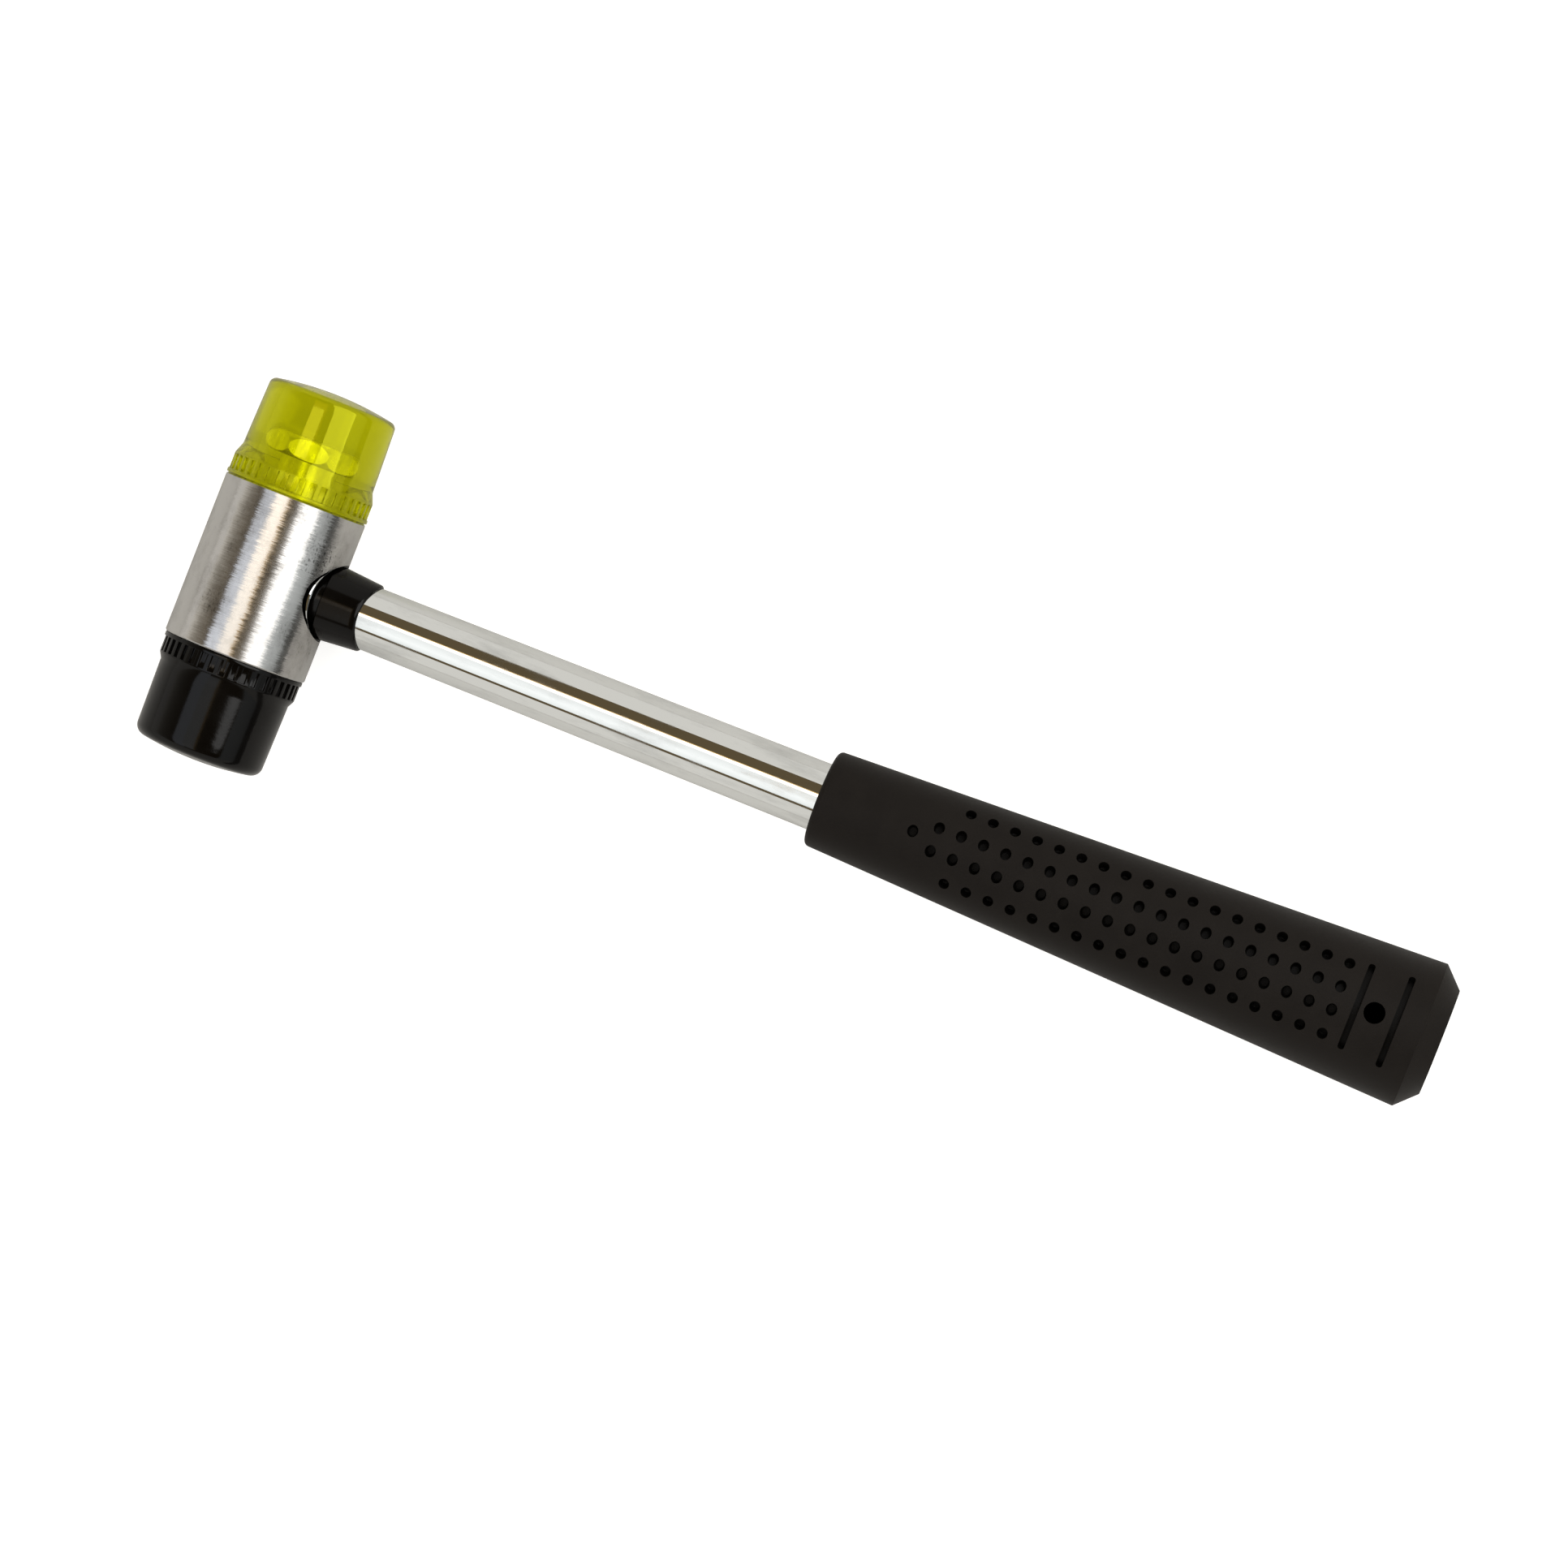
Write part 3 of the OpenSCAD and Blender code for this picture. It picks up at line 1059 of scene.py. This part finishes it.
@dataclass(frozen=True)
class HexBolt:
    """The bolt moulded into a face, with a rolled thread below its hex head."""

    side: Side
    name: str
    body: Body
    node: str
    barrel_half: float = BARREL_LENGTH / 2
    thread_radius: float = 4.0
    root_radius: float = 3.4
    pitch: float = 1.25
    thread_shares: tuple[Pair, ...] = (
        (0.0, 0.0),
        (0.12, 0.0),
        (0.44, 1.0),
        (0.56, 1.0),
        (0.88, 0.0),
        (1.0, 0.0),
    )
    length: float = 16.0
    point: float = 0.9
    seat: float = 7.1
    head_width: float = 12.0
    head_height: float = 4.7
    top_share: float = 0.95
    head_turn: float = 3.0
    plain_length: float = 6.5
    belly_steps: int = 24
    head_steps: int = 96
    steps: int = 40

    def head(self) -> Shape:
        """Return the hex head with its corners turned to a round belly.

        Returns:
            The shape, standing on +Z at its height.
        """
        flat = self.head_width / 2
        half_side = math.pi / HEX_SIDES
        corner = flat / math.cos(half_side)
        half = self.head_height / 2
        prism = bmesh.new()
        bmesh.ops.create_cone(
            prism,
            cap_ends=True,
            segments=HEX_SIDES,
            radius1=corner * MM,
            radius2=corner * MM,
            depth=self.head_height * MM,
        )
        prism.transform(Matrix.Rotation(half_side, 4, "Z"))
        drop = corner - flat * self.top_share
        belly = (half**2 + drop**2) / (2 * drop)
        reach = math.degrees(math.asin(half / belly))
        side = arc((corner - belly, 0.0), belly, -reach, reach, self.belly_steps)
        turned = lathe([(0.0, -half), (corner - drop, -half), *side, (0.0, half)], self.head_steps)
        head = combine(prism, turned, Cut.TRIM)
        head.transform(Matrix.Translation((0.0, 0.0, (self.seat + half) * MM)))
        head.transform(Matrix.Rotation(math.radians(self.head_turn), 4, "Z"))
        return head

    def shank(self) -> Shape:
        """Return the threaded shank, wound from one pitch of its outline.

        Returns:
            The shape, standing on +Z at its height.
        """
        thread = bmesh.new()
        tip = self.seat - self.length
        start = tip + self.point
        turns = int((self.length - self.plain_length - self.point) / self.pitch)
        depth = self.thread_radius - self.root_radius
        verts = []
        for climb_share, depth_share in self.thread_shares:
            radius = self.root_radius + depth_share * depth
            verts.append(thread.verts.new((radius * MM, 0.0, (start + climb_share * self.pitch) * MM)))
        edges = [thread.edges.new(pair) for pair in zip(verts, verts[1:])]
        climb = self.pitch * MM / self.steps
        spin(thread, verts + edges, math.tau * (turns - 1), self.steps * (turns - 1), rise=climb)
        bmesh.ops.remove_doubles(thread, verts=thread.verts, dist=WELD)
        bmesh.ops.holes_fill(thread, edges=[edge for edge in thread.edges if edge.is_boundary], sides=0)
        bmesh.ops.recalc_face_normals(thread, faces=thread.faces)
        thread_top = start + turns * self.pitch
        core_top = self.seat + self.point
        core = lathe(
            [
                (0.0, tip),
                (self.root_radius - self.point / 2, tip),
                (self.root_radius, tip + self.point / 2),
                (self.root_radius, thread_top),
                (self.thread_radius, thread_top + self.pitch / 2),
                (self.thread_radius, core_top),
                (0.0, core_top),
            ],
            self.steps,
        )
        add_copy(thread, core, Matrix.Identity(4))
        core.free()
        return thread

    def build(self) -> Shape:
        """Join head and shank.

        Returns:
            The shape in the hammer's frame.
        """
        shape = self.shank()
        head = self.head()
        add_copy(shape, head, Matrix.Identity(4))
        head.free()
        shape.transform(on_barrel_end(self.side, self.barrel_half))
        return shape

    def dress(self) -> None:
        """Make the finished bolt."""
        make_piece(self.name, self.build(), self.body, self.node, BOLT_STEEL)


@dataclass(frozen=True)
class Handle:
    """The chromed tube and the ferrule that covers its entry into the head."""

    tube_radius: float = TUBE_RADIUS
    grip_radius: float = TUBE_GRIP_RADIUS
    wall: float = 1.2
    reach: float = TUBE_REACH
    tube_end: float = TUBE_END
    grip_front: float = GRIP_FRONT
    fit: float = PUSH_FIT
    collar_start: float = 13.6
    collar_end: float = 23.3
    collar_head_radius: float = 7.9
    collar_tube_radius: float = 7.15
    collar_edge: float = 0.25
    collar_lip: float = 0.5
    collar_lip_share: float = 0.5
    collar_lip_drop: float = 0.08
    collar_lip_wall: float = 0.3
    collar_curve: float = 15.0
    sleeve_start: float = 10.7
    sleeve_radius: float = 6.95
    taper_steps: int = 12
    collar_steps: int = 10
    steps: int = 160

    def tube(self) -> Shape:
        """Return the tube, a little wider towards the grip.

        Returns:
            The shape in the hammer's frame.
        """
        taper_start = (self.tube_radius, self.collar_end)
        outer = [
            (self.tube_radius, -self.reach),
            taper_start,
            *straight(taper_start, (self.grip_radius, self.grip_front), self.taper_steps),
            (self.grip_radius, self.tube_end),
        ]
        inner = [(radius - self.wall, place) for radius, place in reversed(outer)]
        shape = lathe(outer + inner, self.steps, closed=True)
        shape.transform(along_handle())
        return shape

    def collar(self) -> Shape:
        """Return the ferrule, its lip drawn back where it crosses the handle's upper and lower side.

        Returns:
            The shape in the hammer's frame.
        """
        bore = self.tube_radius + self.fit
        edge_end = (self.collar_head_radius, self.collar_start + self.collar_edge)
        lip_start = (self.collar_tube_radius, self.collar_end - self.collar_lip)
        lip_middle = self.collar_end - self.collar_lip_share * self.collar_lip
        bore_end = (bore, self.collar_end)
        outline = [
            (bore, self.sleeve_start),
            (self.sleeve_radius, self.sleeve_start),
            (self.sleeve_radius, self.collar_start),
            (self.collar_head_radius - self.collar_edge, self.collar_start),
            edge_end,
            *straight(edge_end, lip_start, self.collar_steps),
            (self.collar_tube_radius - self.collar_lip_drop, lip_middle),
            (self.tube_radius + self.collar_lip_wall, self.collar_end),
            bore_end,
            *straight(bore_end, (bore, self.collar_start), self.collar_steps),
        ]
        shape = lathe(outline, self.steps, closed=True)
        centre = self.collar_end - self.collar_curve
        length = self.collar_end - self.collar_start
        for vert in shape.verts:
            share = max(0.0, (vert.co.z / MM - self.collar_start) / length)
            curve = math.sqrt(self.collar_curve**2 - (vert.co.x / MM) ** 2)
            drawn_back = self.collar_end - (centre + curve)
            vert.co.z -= drawn_back * share * MM
        shape.transform(along_handle())
        return shape

    def dress(self) -> None:
        """Make the finished tube and ferrule."""
        make_piece("handle_tube_chromed", self.tube(), Body.HAMMER, "handle_tube", TUBE_CHROME)
        make_piece("handle_collar_moulded", self.collar(), Body.HAMMER, "handle_collar", COLLAR_AND_RECESS_SHADE)


@dataclass(frozen=True)
class Grip:
    """The moulded rubber grip with its dots, grooves and hang hole."""

    front: float = GRIP_FRONT
    length: float = 132.1
    front_radius: float = 10.05
    butt_radius: float = 15.1
    chamfer: float = 4.1
    front_round: float = 1.1
    bore_radius: float = TUBE_GRIP_RADIUS + PUSH_FIT
    tube_end: float = TUBE_END
    turn: float = 4.2
    dot_start: float = 20.3
    dot_columns: int = 20
    dot_rows: int = 4
    dot_pitch: float = 4.72
    dot_row_pitch: float = 4.95
    dot_radius: float = 1.15
    dot_depth: float = 2.0
    dot_oval: Pair = (0.92, 1.06)
    dot_shares: tuple[Pair, ...] = (
        (0.72, 1.0),
        (0.92, 0.88),
        (1.0, 0.6),
        (1.0, 0.16),
        (1.03, 0.05),
        (1.07, -0.02),
    )
    groove_width: float = 1.35
    groove_depth: float = 1.3
    groove_end_share: float = 0.98
    grooves: tuple[Pair, ...] = ((17.8, 17.9), (9.6, 19.0))
    hollow_depth: float = 0.12
    hole_from_butt: float = 14.1
    hole_radius: float = 2.15
    proud: float = 1.0
    front_steps: int = 8
    side_steps: int = 96
    dot_steps: int = 20
    groove_steps: int = 24
    groove_end_segments: int = 6
    hole_steps: int = 64
    steps: int = 192

    @property
    def butt(self) -> float:
        """Place of the butt's flat end."""
        return self.front + self.length

    @property
    def slope(self) -> float:
        """Rise of the grip's radius along the handle."""
        return (self.butt_radius - self.front_radius) / (self.length - self.chamfer)

    def radius_at(self, place: float) -> float:
        """Return the radius of the grip's cone at a place along the handle."""
        return self.front_radius + self.slope * (place - self.front)

    def turned(self) -> Shape:
        """Return the plain grip with its bore for the tube.

        Returns:
            The shape, standing on +Z.
        """
        lean = math.degrees(math.atan(self.slope))
        round_r = self.front_radius + (self.slope - math.hypot(1.0, self.slope)) * self.front_round
        round_centre = (round_r, self.front + self.front_round)
        edge = arc(round_centre, self.front_round, -90.0, -lean, self.front_steps)
        outline = [
            (0.0, self.tube_end),
            (self.bore_radius, self.tube_end),
            (self.bore_radius, self.front),
            (round_r, self.front),
            *edge,
            *straight(edge[-1], (self.butt_radius, self.butt - self.chamfer), self.side_steps),
            (self.butt_radius - self.chamfer, self.butt),
            (0.0, self.butt),
        ]
        return lathe(outline, self.steps)

    def dot(self) -> Shape:
        """Return the cutter of one dot, with its mouth at height zero.

        Returns:
            The cutter, standing on +Z.
        """
        wall = [(self.dot_radius * out, -self.dot_depth * down) for out, down in self.dot_shares]
        mouth = (wall[-1][0], self.proud)
        cutter = lathe([(0.0, -self.dot_depth), *wall, mouth, (0.0, self.proud)], self.dot_steps)
        bmesh.ops.scale(cutter, vec=(*self.dot_oval, 1.0), verts=cutter.verts)
        return cutter

    def dot_cells(self) -> list[tuple[int, float]]:
        """Return the dots as column and row: one leads, then two rows, then all rows.

        Returns:
            The (column, row) pairs, with the rows counted from the middle.
        """
        rows = [index - (self.dot_rows - 1) / 2 for index in range(self.dot_rows)]
        cells = [(column, row) for row in rows for column in range(round(abs(row) + 0.5), self.dot_columns)]
        return [(0, 0.0), *cells]

    def groove(self, from_butt: float, length: float) -> Shape:
        """Return the cutter of one groove across the upper side.

        Args:
            from_butt: Distance from the butt.
            length: Its length across the handle.

        Returns:
            The cutter, standing on +Z with the upper side towards -X.
        """
        place = self.butt - from_butt
        outer = self.radius_at(place)
        half = self.groove_width / 2
        reach = 2.0 * math.asin(length / 2 / outer)
        cutter = bmesh.new()
        corners = [
            (self.groove_depth - outer, place - half),
            (self.groove_depth - outer, place + half),
            (-outer - self.proud, place + half),
            (-outer - self.proud, place - half),
        ]
        end = cutter.faces.new([cutter.verts.new((x * MM, 0.0, z * MM)) for x, z in corners])
        start_turn = Matrix.Rotation(-reach / 2, 3, "Z")
        bmesh.ops.rotate(cutter, cent=(0.0, 0.0, 0.0), matrix=start_turn, verts=cutter.verts)
        spin(cutter, [end, *end.edges, *end.verts], reach, self.groove_steps)
        close_up(cutter)
        end_edges = []
        for edge in cutter.edges:
            first, second = (vert.co for vert in edge.verts)
            level = abs(first.z - second.z) < WELD
            radial = abs(first.xy.length - second.xy.length) > half * MM
            if level and radial and edge.calc_face_angle(0.0) > SHARP_ANGLE:
                end_edges.append(edge)
        width = half * self.groove_end_share
        round_edges(cutter, end_edges, width, self.groove_end_segments, clamp=False)
        return cutter

    def cutters(self) -> Shape:
        """Return every dot, groove and hole as one cutting shape.

        Returns:
            The cutter, standing on +Z.
        """
        tools = bmesh.new()
        dot = self.dot()
        stand = Matrix.Rotation(-QUARTER_TURN, 4, "Y")
        for flip in (0.0, math.pi):
            turn_over = Matrix.Rotation(flip, 4, "Z")
            for column, row in self.dot_cells():
                place = self.front + self.dot_start + column * self.dot_pitch
                radius = self.radius_at(place)
                lean = math.asin(row * self.dot_row_pitch / radius)
                out = Matrix.Translation((-radius * MM, 0.0, place * MM)) @ stand
                add_copy(tools, dot, turn_over @ Matrix.Rotation(lean, 4, "Z") @ out)
            for from_butt, length in self.grooves:
                groove = self.groove(from_butt, length)
                add_copy(tools, groove, turn_over)
                groove.free()
        dot.free()
        end = self.butt_radius + self.proud
        hole_outline = [(0.0, -end), (self.hole_radius, -end), (self.hole_radius, end), (0.0, end)]
        hole = lathe(hole_outline, self.hole_steps)
        lie = Matrix.Rotation(QUARTER_TURN, 4, "Y")
        add_copy(tools, hole, Matrix.Translation((0.0, 0.0, (self.butt - self.hole_from_butt) * MM)) @ lie)
        hole.free()
        tools.transform(Matrix.Rotation(-math.radians(self.turn), 4, "Z"))
        return tools

    def build(self) -> Shape:
        """Cut the pattern and the hole into the turned grip, and paint shade into the hollows with a darker
        rubber.

        Returns:
            The shape in the hammer's frame.
        """
        shape = combine(self.turned(), self.cutters(), Cut.AWAY)
        shape.transform(along_handle())
        middle = axes_crossing()
        first = self.front + self.dot_start / 2
        last = self.butt - self.chamfer
        # Faces sunk below the grip's cone take the darker rubber, as painted shade.
        for face in shape.faces:
            off = (face.calc_center_median() - middle) / MM
            radius = math.hypot(off.y, off.z)
            if first < off.x < last and radius < self.radius_at(off.x) - self.hollow_depth:
                face.material_index = GripFinish.HOLLOW
        return shape

    def dress(self) -> None:
        """Make the finished grip, with painted shade, a darker rubber, down in its hollows."""
        make_piece("grip_moulded", self.build(), Body.HAMMER, "grip", GRIP_RUBBER, GRIP_HOLLOW_SHADE)


@dataclass(frozen=True)
class Card:
    """A flat card beside or above the table that only shows in reflections, by its range on each axis."""

    name: str
    x: Pair
    y: Pair
    z: Pair
    colour: Colour
    far_colour: Colour | None = None
    fade: Axis = Axis.X

    def hang(self) -> None:
        """Hang the card over the table, as part of the stage."""
        ranges = (self.x, self.y, self.z)
        graph = ShaderGraph(self.name)
        glow = graph.add("ShaderNodeEmission", {"Color": (*self.colour, 1.0), "Strength": 1.0})
        if self.far_colour:
            share = graph.spread(graph.coordinate(self.fade), ranges[self.fade])
            graph.join(graph.blend(share, self.colour, self.far_colour), glow.inputs["Color"])
        graph.join(glow.outputs["Emission"], graph.output.inputs["Surface"])
        sheet = bmesh.new()
        low, high = zip(*ranges)
        first_axis = next(axis for axis in range(3) if high[axis] > low[axis])
        corners = [list(low), list(low), list(high), list(high)]
        corners[1][first_axis] = high[first_axis]
        corners[3][first_axis] = low[first_axis]
        sheet.faces.new([sheet.verts.new(corner) for corner in corners])
        card = new_object(self.name, sheet, graph.material)
        card.visible_camera = False
        card.visible_diffuse = False
        card.visible_transmission = False
        card.visible_shadow = False


# Places and a colour that the strip lamp and several cards share, in metres
STRIP_X = (-0.454, -0.085)
STRIP_Y = (-0.99, 0.122)
STRIP_CARD_HEIGHT = (1.01, 1.01)
PALE_SEAM = -0.5
PALE_WHITE = (1.1, 1.11, 1.1)
WIDE_CARD_Y = (-1.36, 0.91)
WIDE_CARD_HEIGHT = (1.05, 1.05)
BROWN_LEFT = -0.92
BROWN_RIGHT = 1.2


@dataclass(frozen=True)
class Studio:
    """The white table, the light over it and the camera, whose aim and distance are in millimetres."""

    table_half: float = 4.0
    table_drop: float = 0.0002
    table_colour: Colour = (0.56, 0.55, 0.53)
    table_roughness: float = 0.9
    table_glow: float = 0.75
    glow_through: float = 0.4
    shade_place: Pair = (0.1204, -0.0011)
    shade_radius: float = 0.0027
    shade_edge: Pair = (0.0, 0.1)
    room_colour: Colour = (0.70, 0.675, 0.63)
    strip_x: Pair = STRIP_X
    strip_y: Pair = STRIP_Y
    strip_light: float = 1.7
    round_place: Pair = (0.765, 0.45)
    round_radius: float = 0.65
    round_light: float = 2.4
    lamp_height: float = 1.015
    cards: tuple[Card, ...] = (
        Card(
            "card_left",
            (-4.2, BROWN_LEFT),
            WIDE_CARD_Y,
            WIDE_CARD_HEIGHT,
            (0.76, 0.72, 0.64),
            (0.12, 0.092, 0.058),
        ),
        Card("card_brown", (BROWN_LEFT, BROWN_RIGHT), WIDE_CARD_Y, WIDE_CARD_HEIGHT, (0.11, 0.08, 0.042)),
        Card(
            "card_right",
            (BROWN_RIGHT, 9.0),
            WIDE_CARD_Y,
            WIDE_CARD_HEIGHT,
            (0.62, 0.65, 0.65),
            (0.16, 0.16, 0.15),
        ),
        Card("card_blue_grey", (BROWN_LEFT, -0.46), (-1.2, 0.05), (1.03, 1.03), (1.05, 1.1, 1.2)),
        Card("card_gold", (STRIP_X[0], -0.03), (STRIP_Y[0], 0.17), (1.022, 1.022), (0.8, 0.52, 0.2)),
        Card(
            "card_pale_far",
            STRIP_X,
            (STRIP_Y[0], PALE_SEAM),
            STRIP_CARD_HEIGHT,
            (0.92, 0.94, 0.93),
            PALE_WHITE,
            Axis.Y,
        ),
        Card(
            "card_pale_near",
            STRIP_X,
            (PALE_SEAM, -0.035),
            STRIP_CARD_HEIGHT,
            PALE_WHITE,
            (0.94, 0.95, 0.94),
            Axis.Y,
        ),
        Card("card_side", (0.6, 0.6), (-1.0, 1.0), (0.0, 0.16), (0.1, 0.1, 0.095)),
    )
    aim: float = 113.7
    aim_aside: float = -0.24
    distance: float = 1139.0
    lean_to_butt: float = 6.0
    lean_to_hard_face: float = 1.5
    handle_slope: float = 21.5
    focal_pixels: float = 7000.0
    image_pixels: float = 1932.0
    sensor: float = 36.0
    clip: Pair = (0.01, 50.0)

    def table_material(self) -> bpy.types.Material:
        """Make the table's material, which glows for the camera and through plastic, save in a painted shadow
        under the hang hole.

        Returns:
            The new material.
        """
        graph = ShaderGraph("white_table")
        path = graph.add("ShaderNodeLightPath").outputs
        seen = graph.reckon(Reckoning.PRODUCT, path["Is Camera Ray"], self.table_glow)
        through = graph.reckon(Reckoning.PRODUCT, path["Is Transmission Ray"], self.glow_through)
        glow = graph.reckon(Reckoning.LARGER, seen, through)
        # A black disc under the hang hole, without glow, is painted shadow.
        shade = graph.ball(Vector((*self.shade_place, -self.table_drop)), self.shade_radius)
        lit = graph.spread(shade, self.shade_edge, (1.0, 0.0))
        shader = graph.surface({"Roughness": self.table_roughness, "Specular IOR Level": 0.0})
        graph.join(graph.blend(lit, (0.0, 0.0, 0.0), self.table_colour), shader.inputs["Base Color"])
        shader.inputs["Emission Color"].default_value = (1.0, 1.0, 1.0, 1.0)
        level = graph.reckon(Reckoning.PRODUCT, glow, lit)
        graph.join(level, shader.inputs["Emission Strength"])
        return graph.material

    def lay_table(self) -> None:
        """Lay the white table under the hammer, as part of the stage."""
        sheet = bmesh.new()
        bmesh.ops.create_grid(sheet, x_segments=1, y_segments=1, size=self.table_half)
        bmesh.ops.translate(sheet, vec=(0.0, 0.0, -self.table_drop), verts=sheet.verts)
        table = new_object("white_table", sheet, self.table_material())

    def hang_lamp(self, lamp: bpy.types.Light, place: Pair) -> None:
        """Hang a lamp that shines down on the table.

        Args:
            lamp: The lamp.
            place: Where it hangs, seen from above.
        """
        put_in_scene(lamp.name, lamp).location = (*place, self.lamp_height)

    def light_room(self) -> None:
        """Fill the room with soft light and hang the lamps and the cards over the table."""
        world = bpy.data.worlds.new("studio_room")
        world.use_nodes = True
        world.node_tree.nodes["Background"].inputs["Color"].default_value = (*self.room_colour, 1.0)
        bpy.context.scene.world = world
        strip = bpy.data.lights.new("strip_light", "AREA")
        strip.shape = "RECTANGLE"
        strip.size = self.strip_x[1] - self.strip_x[0]
        strip.size_y = self.strip_y[1] - self.strip_y[0]
        strip.energy = self.strip_light * math.pi * strip.size * strip.size_y
        self.hang_lamp(strip, (sum(self.strip_x) / 2, sum(self.strip_y) / 2))
        round_lamp = bpy.data.lights.new("round_light", "AREA")
        round_lamp.shape = "DISK"
        round_lamp.size = 2 * self.round_radius
        round_lamp.energy = self.round_light * (math.pi * self.round_radius) ** 2
        self.hang_lamp(round_lamp, self.round_place)
        for card in self.cards:
            card.hang()

    def set_camera(self) -> None:
        """Set the camera over the hammer, as the photograph was taken."""
        target = axes_crossing() + Vector((self.aim * MM, self.aim_aside * MM, 0.0))
        lean_x = math.sin(math.radians(self.lean_to_butt))
        lean_y = math.sin(math.radians(self.lean_to_hard_face))
        back = Vector((lean_x, lean_y, math.sqrt(1.0 - lean_x**2 - lean_y**2)))
        slope = math.radians(self.handle_slope)
        right = Vector((math.cos(slope), math.sin(slope), 0.0))
        right = (right - back * right.dot(back)).normalized()
        up = back.cross(right)
        lens = bpy.data.cameras.new("camera")
        lens.sensor_width = self.sensor
        lens.lens = self.sensor * self.focal_pixels / self.image_pixels
        lens.clip_start, lens.clip_end = self.clip
        camera = put_in_scene("camera", lens)
        turn = Matrix((right, up, back)).transposed().to_4x4()
        camera.matrix_world = Matrix.Translation(target + back * self.distance * MM) @ turn
        bpy.context.scene.camera = camera

    def set_up(self) -> None:
        """Set up the table, the light and the camera."""
        bpy.context.scene.view_settings.view_transform = "Standard"
        self.lay_table()
        self.light_room()
        self.set_camera()


@dataclass(frozen=True)
class Hammer:
    """The whole hammer."""

    barrel: Barrel = Barrel()
    handle: Handle = Handle()
    grip: Grip = Grip()
    hard_face: ScrewFace = ScrewFace(
        Side.HARD,
        HARD_PLASTIC,
        "hard_face_clear",
        Body.HARD_FACE,
        "hard_face",
        flange_radius=15.1,
        ring_radius=14.85,
        shoulder=2.2,
        body_radius=14.0,
        end_radius=13.55,
        crown=1.4,
        rim_radius=1.5,
    )
    soft_face: ScrewFace = ScrewFace(
        Side.SOFT,
        FACE_RUBBER,
        "soft_face_rubber",
        Body.SOFT_FACE,
        "soft_face",
        flange_radius=14.75,
        ring_radius=14.45,
        shoulder=1.3,
        body_radius=13.75,
        end_radius=13.5,
        crown=1.4,
        rim_radius=2.3,
    )
    hard_bolt: HexBolt = HexBolt(Side.HARD, "hard_face_bolt_threaded", Body.HARD_FACE, "hard_face_bolt")
    soft_bolt: HexBolt = HexBolt(Side.SOFT, "soft_face_bolt_threaded", Body.SOFT_FACE, "soft_face_bolt")

    def dress(self) -> None:
        """Make every piece and give the hidden plug its finish."""
        faces = (self.hard_face, self.hard_bolt, self.soft_face, self.soft_bolt)
        for part in (self.barrel, *faces, self.handle, self.grip):
            part.dress()
        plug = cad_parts["tube_plug"]
        plug.data.materials.clear()
        plug.data.materials.append(BOLT_STEEL.material())
        LOG.info("tube_plug: packed shape with the bolts' finish")


def main() -> None:
    """Build the hammer and its studio."""
    logging.basicConfig(level=logging.INFO, format="%(name)s %(message)s")
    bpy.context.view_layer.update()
    Studio().set_up()
    Hammer().dress()


if __name__ == "__main__":
    main()
